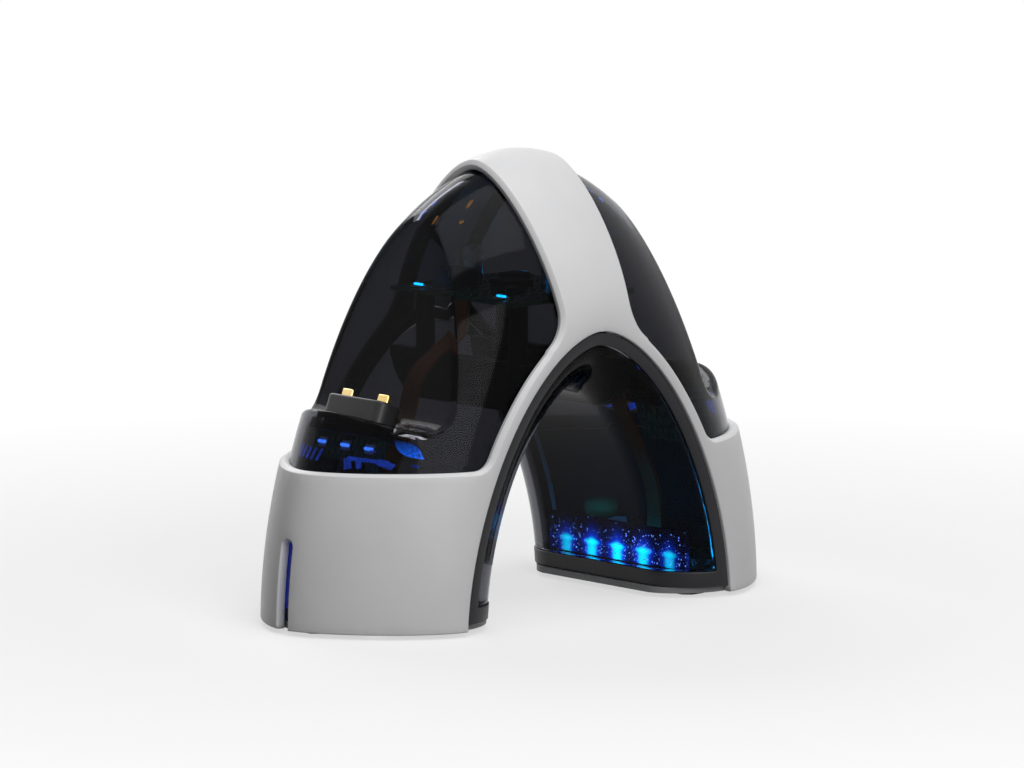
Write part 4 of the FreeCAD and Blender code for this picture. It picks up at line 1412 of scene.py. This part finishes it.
status_at = status_matrix()
status_glow(status_at.translation * MM)
put("status_light", *dome(STATUS_SIZE, (0, 0, 0), status_at), "lamp_blue", finish="status_glow")
hood = block(HOOD_SIZE, (PIPE_LAMP_X - HOOD_GAP, 0, LAMP_BOARD_TOP + HOOD_SIZE[2] / 2), edge=0.3)
both_sides("pipe_lamp_hood", [hood], "frame_black")

# %% [markdown]
# The connector on each seat is a black nub with round corners on a wider flange, and two gold blades stand
# out of it. A bevelled block has the same round on all its edges; the nub has wide round corners and a
# narrow round at the top. So it is a stack of one outline, which draws in over the last steps.

# %% Charging connectors
NUB_WIDTH = 22.0
NUB_DEPTH = 8.0
NUB_HEIGHT = 6.0
NUB_CORNER = 2.5
NUB_ROLL = 0.7
NUB_ROLL_STEPS = 5
FLANGE_SIZE = (11.0, 26.0, 2.0)
BLADE_WALL = 1.2
BLADE_WIDTH = 4.0
BLADE_LOW = -10.0
BLADE_TOP = 8.2
BLADE_Y = 7.0
CONNECTOR_CRISP = 50


def nub(at):
    levels = [(0, -CRADLE_WALL)]
    for k in range(NUB_ROLL_STEPS + 1):
        turn = math.pi / 2 * k / NUB_ROLL_STEPS
        levels.append((NUB_ROLL * (1 - math.cos(turn)), NUB_HEIGHT - NUB_ROLL * (1 - math.sin(turn))))
    rings = []
    for draw, height in levels:
        line = rounded_oblong(NUB_DEPTH - 2 * draw, NUB_WIDTH - 2 * draw, NUB_CORNER - draw)
        rings.append([at @ Vector((x, y, height)) for x, y in line])
    return stack(rings)


def blade(side, at):
    size = (BLADE_WALL, BLADE_WIDTH, BLADE_TOP - BLADE_LOW)
    return block(size, (0, side * BLADE_Y, (BLADE_TOP + BLADE_LOW) / 2), edge=0.45, at=at, steps=4)


seat = seat_matrix()
flange = block(FLANGE_SIZE, (0, 0, -CRADLE_WALL - FLANGE_SIZE[2] / 2), edge=0.3, at=seat)
both_sides("seat_nub", [nub(seat), flange], "connector_black", "charge_connector", CONNECTOR_CRISP)
blades = [blade(side, seat) for side in (-1, 1)]
both_sides("seat_blades", blades, "contact_gold", "charge_contacts", CONNECTOR_CRISP)

# %% [markdown]
# Marks show behind the smoked wall: a row of slanted slits and a bracket of tracks low in front, a pale
# leaf of light beside them and a few short lines under the crown. Their glow is painted light: slits, tracks
# and orange lines are lamp-lit parts given a glow by emission, and the leaf is a painted patch of lamp light.
# The short dashes under the crown take the seat lamps' finish. Each mark is a thin plate that follows the
# inside of the wall.

# %% Helpers for marks with painted glow
FILM_INSET = 4.8
FILM_WALL = 0.15
STROKE_STEP = 2.0
LEAF_STEPS = 14


def film_point(y, z, inset):
    """Point of the film at a y and a height, over the right foot."""
    surface = skin(inset)
    v = v_at(y, inset)
    return surface(at_height(surface, v, z), v)


def mark(outline):
    """Thin plate over an outline of (y, z) places."""
    insets = (FILM_INSET, FILM_INSET + FILM_WALL)
    return stack([[film_point(y, z, inset) for y, z in outline] for inset in insets])


def half_across(a, b, width):
    """Half a width, square to the way from a to b."""
    return Vector((a.y - b.y, b.x - a.x)).normalized() * (width / 2)


def stroke(start, end, width):
    """Mark along a straight line between two places."""
    a = Vector(start)
    b = Vector(end)
    aside = half_across(a, b, width)
    steps = max(1, round((b - a).length / STROKE_STEP))
    line = [a.lerp(b, k / steps) for k in range(steps + 1)]
    return mark([place + aside for place in line] + [place - aside for place in reversed(line)])


def leaf(start, end, width):
    """Leaf-shaped mark, pointed at both ends."""
    a = Vector(start)
    b = Vector(end)
    aside = half_across(a, b, width)
    shares = [k / LEAF_STEPS for k in range(LEAF_STEPS + 1)]
    upper = [a.lerp(b, share) + aside * math.sin(math.pi * share) for share in shares]
    lower = [a.lerp(b, share) - aside * math.sin(math.pi * share) for share in shares[-2:0:-1]]
    return mark(upper + lower)


print("film lies", FILM_INSET, "mm inside the shell's face")

# %% [markdown]
# The marks themselves are short lists of strokes. A picture on the wall would need an image file, and strokes
# stay sharp at any distance. A stroke has a start and an end, as a place across and a height, and a width.
# The leaf takes the grainy finish of painted lamp light that fades upwards.

# %% Marks with painted glow behind the smoked wall
SLIT_LOW = 44.4
SLIT_TOP = 47.4
SLIT_LEAN = 1.2
SLIT_PLACES = np.arange(-9.6, 2.6, 2.1)
SLIT_WIDTH = 0.7
BRACKET = [
    ((9.0, 45.6), (17.5, 44.6), 0.9),
    ((9.0, 45.6), (9.6, 42.8), 1.6),
    ((11.5, 45.2), (12.0, 43.0), 1.0),
    ((15.5, 44.9), (18.6, 43.4), 1.5),
    ((21.6, 43.9), (22.8, 43.5), 0.5),
    ((13.5, 47.6), (14.6, 47.3), 0.35),
]
LEAF = ((17.4, 50.4), (23.2, 45.4), 2.6)
CROWN_LINES = [
    ((6.2, 108.2), (7.0, 106.4), 0.35),
    ((8.4, 103.5), (8.8, 102.9), 0.5),
    ((3.0, 104.5), (3.5, 102.6), 0.3),
]
CROWN_POINTS = [
    ((-5.5, 107.2), (-5.0, 106.6), 0.9),
    ((-6.5, 104.9), (-3.0, 104.2), 0.9),
]

low_marks = [stroke((y, SLIT_LOW), (y + SLIT_LEAN, SLIT_TOP), SLIT_WIDTH) for y in SLIT_PLACES]
low_marks += [stroke(*line) for line in BRACKET]
crown_lines = [stroke(*line) for line in CROWN_LINES]
crown_points = [stroke(*line) for line in CROWN_POINTS]
# painted glow: the marks stand for lamp-lit parts, and the leaf for a patch of lamp light
both_sides("painted_glow_marks", low_marks, "pipe_blue", crisp=None, finish="painted_glow_blue")
both_sides("painted_light_leaf", [leaf(*LEAF)], "lamp_blue", crisp=None, finish="leaf_painted_light")
both_sides("painted_glow_crown_lines", crown_lines, "cable_orange", crisp=None, finish="painted_glow_orange")
both_sides("crown_points", crown_points, "lamp_blue", crisp=None, finish="seat_dash")

# %% [markdown]
# The main board in the crown stands on four posts, and the posts stand on two webs across the frame. A
# plain plate would poke through the curved lining, so the lower edge of a web follows the back of the
# lining: its points come from the lining's own surface.

# %% Webs and posts under the main board
WEB_X = 14.0
WEB_TOP = 66.0
WEB_WALL = 3.0
WEB_HALF = 30.5
WEB_GAP = 3.2                # from the face of the lining
WEB_LEAST = 0.5              # least height of a web, at its ends
WEB_SAMPLES = 41
WEB_ANGLE = 1.0              # the lining's breadth is the same at any angle
POST_RADIUS = 2.5
POST_Y = 18.0
POST_FOOT = 63.5
POST_FLARE = [(0.8, 0), (0.3, 2.7), (0, 4)]
POST_CHAMFER = 0.4


def web(x):
    surface, reach = lining(WEB_GAP)
    low = []
    for y in np.linspace(-WEB_HALF, WEB_HALF, WEB_SAMPLES):
        across = math.copysign(solve(0, reach, lambda c: abs(y) - abs(surface(WEB_ANGLE, c).y)), -y)
        angle = solve(LEG_ANGLE, math.pi / 2, lambda angle: surface(angle, across).x - abs(x))
        low.append((y, min(surface(angle, across).z, WEB_TOP - WEB_LEAST)))
    outline = low + [(y, WEB_TOP) for y, z in reversed(low)]
    points = [Vector((x + side * WEB_WALL / 2, y, z)) for side in (-1, 1) for y, z in outline]
    count = len(outline)
    faces = bridge(list(range(count)), list(range(count, 2 * count)))
    for k in range(len(low) - 1):
        quad = [k, k + 1, count - 2 - k, count - 1 - k]
        faces += [quad, [i + count for i in quad]]
    return points, faces


def post(x, y):
    height = MAIN_BOARD_LOW - POST_FOOT
    profile = [(POST_RADIUS + out, up) for out, up in POST_FLARE]
    profile += [(POST_RADIUS, height - POST_CHAMFER), (POST_RADIUS - POST_CHAMFER, height)]
    return turning(profile, (x, y, POST_FOOT))


stand = [web(x) for x in (-WEB_X, WEB_X)]
stand += [post(x, y) for x in (-WEB_X, WEB_X) for y in (-POST_Y, POST_Y)]
put("main_board_stand", *gather(stand), "frame_black", crisp=CRISP)

# %% [markdown]
# The recess round the power inlet is a small collar behind the shell: its wall follows the recess, and its
# floor is a flat land with a hole for the inlet. The hole narrows until it touches the inlet, so no light
# from inside leaks out beside it.

# %% Collar round the inlet
INLET_WIDTH = 8.9
INLET_HEIGHT = 3.2
LAND_Y = 30.05
LAND_WALL = 2.0
LAND_STEP = 0.05             # least height of the collar's wall over the land
COLLAR_PLAY = 0.1
COLLAR_WALL = 1.3
COLLAR_SINK = 1.0            # inner and outer edge of the collar behind the shell's face
COLLAR_BACK_SINK = 1.4
COLLAR_BACK_STEP = 1.5
HOLE_PLAY = 0.4


def at_y(line, y):
    return [Vector((place.x, y, place.y)) for place in line]


def recess_collar():
    """Collar behind the shell's edge, and the land round the inlet at its end."""
    face_y = [skin(0)(*over(place, 0)).y for place in recess_line()]
    inner = recess_line(COLLAR_PLAY)
    outer = recess_line(COLLAR_WALL)
    hole = stadium(INLET_WIDTH + HOLE_PLAY, INLET_HEIGHT + HOLE_PLAY)
    snug = stadium(INLET_WIDTH, INLET_HEIGHT)
    back = LAND_Y - LAND_WALL
    front_y = [max(y - COLLAR_SINK, LAND_Y + LAND_STEP) for y in face_y]
    rear_y = [max(y - COLLAR_BACK_SINK, LAND_Y - COLLAR_BACK_STEP) for y in face_y]
    front = [Vector((place.x, y, place.y)) for place, y in zip(inner, front_y)]
    rear = [Vector((place.x, y, place.y)) for place, y in zip(outer, rear_y)]
    rings = [front, at_y(inner, LAND_Y), at_y(hole, LAND_Y), at_y(snug, back), at_y(outer, back), rear]
    return stack(rings, closed=True)


put("inlet_cup", *recess_collar(), "shell_white", crisp=CRISP)

# %% [markdown]
# The inlet itself is a drawn steel tube round a black tongue with a row of gold pads on each face. The tube
# is a stack of one outline that grows and shrinks: a rounded back, a lip at the mouth and the inner wall.

# %% Power inlet
INLET_WALL = 0.35
INLET_LENGTH = 8.0
INLET_BACK_ROUND = 0.4
INLET_BACK_WALL = 1.0
LIP_IN = 0.1
LIP_BACK = 0.12
TONGUE_WIDTH = 6.6
TONGUE_HEIGHT = 0.8
TONGUE_SINK = 1.0
PAD_SIZE = (0.3, 3.4, 0.1)
PAD_PITCH = 0.5
PAD_SINK = 3.2
PADS_EACH_WAY = 5


def inlet_tube():
    """Drawn tube with a rounded mouth and a closed back, as (growth, y) steps of its outline."""
    back = INLET_MOUTH_Y - INLET_LENGTH
    lip_y = INLET_MOUTH_Y - LIP_BACK
    steps = [(-INLET_BACK_ROUND, back), (0, back + INLET_BACK_ROUND), (0, lip_y), (-LIP_IN, INLET_MOUTH_Y)]
    steps += [(LIP_IN - INLET_WALL, INLET_MOUTH_Y), (-INLET_WALL, lip_y)]
    steps += [(-INLET_WALL, back + INLET_BACK_WALL)]
    return stack([at_y(stadium(INLET_WIDTH + 2 * grow, INLET_HEIGHT + 2 * grow), y) for grow, y in steps])


def inlet_tongue():
    length = INLET_LENGTH - INLET_BACK_WALL - TONGUE_SINK
    middle_y = INLET_MOUTH_Y - TONGUE_SINK - length / 2
    return block((TONGUE_WIDTH, length, TONGUE_HEIGHT), (INLET_X, middle_y, INLET_Z), edge=0.25)


def inlet_pads():
    spots = [(INLET_X + k * PAD_PITCH, INLET_MOUTH_Y - PAD_SINK, INLET_Z + side * TONGUE_HEIGHT / 2)
             for k in range(-PADS_EACH_WAY, PADS_EACH_WAY + 1) for side in (-1, 1)]
    return gather([block(PAD_SIZE, spot, edge=0.03) for spot in spots])


put("inlet_tube", *inlet_tube(), "inlet_steel", "power_inlet", CRISP)
put("inlet_tongue", *inlet_tongue(), "connector_black", "power_inlet_tongue", CRISP)
put("inlet_pads", *inlet_pads(), "contact_gold", crisp=CRISP)

# %% [markdown]
# Small surface parts cover the boards: resistors and capacitors with a bright cap at each end, in rows with
# some left out. A bump map would look flat beside the larger parts, so they are little blocks. A grid and a
# fixed seed scatter them, and places that are taken by larger parts are skipped.

# %% Helpers for small surface parts
PART_PITCH_X = 2.1
PART_PITCH_Y = 2.9
PART_GAPS = 0.45             # share of the grid that stays empty
PART_LENGTHS = (1.0, 1.6)
PART_EDGE = 0.05
BODY_SHARES = (0.5, 0.6)     # sizes in X and Y, as shares of a part's length
CAP_SHARES = (0.54, 0.22)
CAP_PLACE = 0.4              # from the middle of a part
BODY_HEIGHT = 0.45
BODY_MIDDLE = 0.23           # over the board
CAP_HEIGHT = 0.5
CAP_MIDDLE = 0.25


def taken(x, y, keep_out):
    return any(abs(x - cx) < dx and abs(y - cy) < dy for cx, cy, dx, dy in keep_out)


def small_parts(x_range, y_range, keep_out, board_top, seed):
    """Bodies and end caps of small parts over a patch of board."""
    dice = random.Random(seed)
    at = Matrix.Translation((0, 0, board_top))
    bodies = []
    caps = []
    for x in np.arange(*x_range, PART_PITCH_X):
        for y in np.arange(*y_range, PART_PITCH_Y):
            skip = dice.random() < PART_GAPS
            long = dice.choice(PART_LENGTHS)
            if skip or taken(x, y, keep_out):
                continue
            body_size = [long * share for share in BODY_SHARES] + [BODY_HEIGHT]
            cap_size = [long * share for share in CAP_SHARES] + [CAP_HEIGHT]
            bodies.append(block(body_size, (x, y, BODY_MIDDLE), PART_EDGE, at, steps=1))
            for end in (-1, 1):
                cap_y = y + end * long * CAP_PLACE
                caps.append(block(cap_size, (x, cap_y, CAP_MIDDLE), PART_EDGE, at, steps=1))
    return bodies, caps


print("small parts on a grid of", PART_PITCH_X, "by", PART_PITCH_Y, "mm")

# %% [markdown]
# The main board's own chips, coils, cans and lamps come from the CAD model, so the small parts keep out of
# the places that those take, and off the strip over the ends of the flat cables. On a lamp board only the
# foot of the flat cable is in the way.

# %% Small parts on the boards
BOTH_WAYS = [(x, y) for x in (-1, 1) for y in (-1, 1)]
CHIP_STEP = 10.5             # chips and coils from the middle of the main board
CHIP_ROOM = 5.2
CAN_X = 1.5
CAN_Y = 17.6
CAN_ROOM = 4.4
LAMP_ROOM = (2.6, 3)
CABLE_ROOM = (0, 0, 21, 3.8)
CABLE_FOOT_ROOM = (50, 0, 4, 5)
MAIN_PATCH = ((-19, 20), (-22, 23))
MAIN_SEED = 3
LAMP_BOARD_PATCH = ((46.5, 53.5), (-19, 15))
LAMP_BOARD_SEED = 4

main_taken = [(0, 0, CHIP_ROOM, CHIP_ROOM), CABLE_ROOM]
main_taken += [(x * CHIP_STEP, y * CHIP_STEP, CHIP_ROOM, CHIP_ROOM) for x, y in BOTH_WAYS]
main_taken += [(side * CAN_X, side * CAN_Y, CAN_ROOM, CAN_ROOM) for side in (-1, 1)]
main_taken += [(x * MAIN_LAMP_X, y * MAIN_LAMP_Y, *LAMP_ROOM) for x, y in BOTH_WAYS]
bodies, caps = small_parts(*MAIN_PATCH, main_taken, MAIN_BOARD_TOP, MAIN_SEED)
put("main_board_parts", *gather(bodies), "chip_black", crisp=CRISP)
put("main_board_caps", *gather(caps), "can_metal", crisp=CRISP)
bodies, caps = small_parts(*LAMP_BOARD_PATCH, [CABLE_FOOT_ROOM], LAMP_BOARD_TOP, LAMP_BOARD_SEED)
both_sides("lamp_board_parts", bodies, "chip_black")
both_sides("lamp_board_caps", caps, "can_metal")

# %% [markdown]
# The studio is a pale floor, a broad soft light from above, one near the camera and one behind the dock.
# The world is white for the camera and for what it sees in reflections and through smoked plastic, and only
# a weak fill for everything else. Light Path tells these rays apart. The lamps are set so that a colour
# renders about as it is written.

# %% World
WORLD_FILL = 0.02
WORLD_SEEN = 1.0


def seen_rays(tree):
    """1 for rays from the camera, straight or by way of gloss or see-through plastic, and 0 for others."""
    path = shader_node(tree, "LightPath", {}).outputs
    either = reckon(tree, "MAXIMUM", path["Is Camera Ray"], path["Is Glossy Ray"])
    return reckon(tree, "MAXIMUM", either, path["Is Transmission Ray"])


def white_world():
    world = bpy.data.worlds.new("studio")
    world.use_nodes = True
    tree = world.node_tree
    level = {"Value": seen_rays(tree), "To Min": WORLD_FILL, "To Max": WORLD_SEEN}
    backdrop = tree.nodes["Background"].inputs
    feed(tree, (1, 1, 1, 1), backdrop["Color"])
    feed(tree, shader_node(tree, "MapRange", level).outputs["Result"], backdrop["Strength"])
    return world


bpy.context.scene.world = white_world()
print("world gives a fill of", WORLD_FILL)

# %% [markdown]
# Each light is a large square, so that shadows and highlights stay soft. The light behind stands off the
# line from the camera over the crown; right on that line, its glare would wash out the top of the band.

# %% Lights
LIGHT_TARGET = Vector((0, 0, 0.06))


def look_from(thing, target, azimuth, elevation, distance):
    """Sets a light or a camera round a target and faces it; azimuth 0 is in front, elevation 90 overhead."""
    a = math.radians(azimuth)
    e = math.radians(elevation)
    away = Vector((math.sin(a) * math.cos(e), -math.cos(a) * math.cos(e), math.sin(e)))
    thing.location = target + away * distance
    thing.rotation_euler = (-away).to_track_quat("-Z", "Y").to_euler()


def soft_light(name, size, watts, azimuth, elevation, distance):
    """Square light that faces the middle of the dock."""
    data = bpy.data.lights.new(name, "AREA")
    data.size = size
    data.energy = watts
    lamp = bpy.data.objects.new(name, data)
    bpy.context.scene.collection.objects.link(lamp)
    look_from(lamp, LIGHT_TARGET, azimuth, elevation, distance)
    print(name, watts, "W")


soft_light("top_light", size=0.7, watts=5.4, azimuth=-10, elevation=75, distance=0.95)
soft_light("front_light", size=0.8, watts=7.4, azimuth=-18, elevation=24, distance=1.4)
soft_light("back_light", size=0.8, watts=7.0, azimuth=165, elevation=35, distance=1.4)

# %% [markdown]
# The floor is a pale sheet that takes the dock's shadow. Away from the dock it fades into the white of the
# world, so no edge shows. For rays that only carry light it is darker, so that it doesn't light the dock
# from below.

# %% Floor
FLOOR_RADIUS = 1.2
FLOOR_SEGMENTS = 96
FLOOR_UNSEEN = 0.12
FLOOR_TONES = (0.86, 0.88)
FLOOR_FADE_SCALE = 1.6
FLOOR_FADE = {"From Min": 0.8, "From Max": 0.45, "To Min": 0.6}


def floor_finish():
    tree = new_finish("floor_white")
    seen = seen_rays(tree)
    pale = two_tone(tree, noise(tree, 3), *[(tone, tone, tone) for tone in FLOOR_TONES])
    unseen = (FLOOR_UNSEEN, FLOOR_UNSEEN, FLOOR_UNSEEN, 1)
    tone = shader_node(tree, "Mix", {"Factor": seen, "A": unseen, "B": pale}, data_type="RGBA")
    set_shader(tree, {"Base Color": tone.outputs["Result"], "Roughness": 0.9, "Specular IOR Level": 0.1})
    grown = shader_node(tree, "Mapping", {"Vector": place_of(tree), "Scale": [FLOOR_FADE_SCALE] * 3})
    round_fade = {"Vector": grown.outputs["Vector"]}
    round_fade = shader_node(tree, "TexGradient", round_fade, gradient_type="SPHERICAL").outputs["Fac"]
    away = shader_node(tree, "MapRange", {"Value": round_fade, **FLOOR_FADE}).outputs["Result"]
    glow = shader_node(tree, "Emission", {"Color": (1, 1, 1, 1)}).outputs["Emission"]
    plain = tree.nodes["Principled BSDF"].outputs["BSDF"]
    mixed = shader_node(tree, "MixShader", {"Fac": reckon(tree, "MULTIPLY", away, seen), 1: plain, 2: glow})
    feed(tree, mixed.outputs["Shader"], tree.nodes["Material Output"].inputs["Surface"])


def floor_sheet():
    shape = bmesh.new()
    bmesh.ops.create_circle(shape, cap_ends=True, segments=FLOOR_SEGMENTS, radius=FLOOR_RADIUS)
    mesh = bpy.data.meshes.new("floor")
    shape.to_mesh(mesh)
    shape.free()
    mesh.materials.append(finishes["floor_white"])
    sheet = bpy.data.objects.new("floor", mesh)
    bpy.context.scene.collection.objects.link(sheet)
    return sheet


floor_finish()
floor_sheet()
print("floor laid")

# %% [markdown]
# The camera looks at one corner of the dock, a little from above. The photograph has hardly any
# perspective, so the camera stands far away behind a long lens.

# %% Camera
CAMERA_LENS = 294
CAMERA_SENSOR = 36
CAMERA_TARGET = Vector((0, 0, 0.0575))
CAMERA_AZIMUTH = -42
CAMERA_ELEVATION = 8.3
CAMERA_DISTANCE = 2.2
CAMERA_FAR_END = 50

camera_data = bpy.data.cameras.new("camera")
camera_data.lens = CAMERA_LENS
camera_data.sensor_width = CAMERA_SENSOR
camera_data.clip_end = CAMERA_FAR_END
camera = bpy.data.objects.new("camera", camera_data)
bpy.context.scene.collection.objects.link(camera)
look_from(camera, CAMERA_TARGET, CAMERA_AZIMUTH, CAMERA_ELEVATION, CAMERA_DISTANCE)
bpy.context.scene.camera = camera
bpy.context.scene.view_settings.view_transform = "Standard"
print("camera at", [round(v, 2) for v in camera.location])
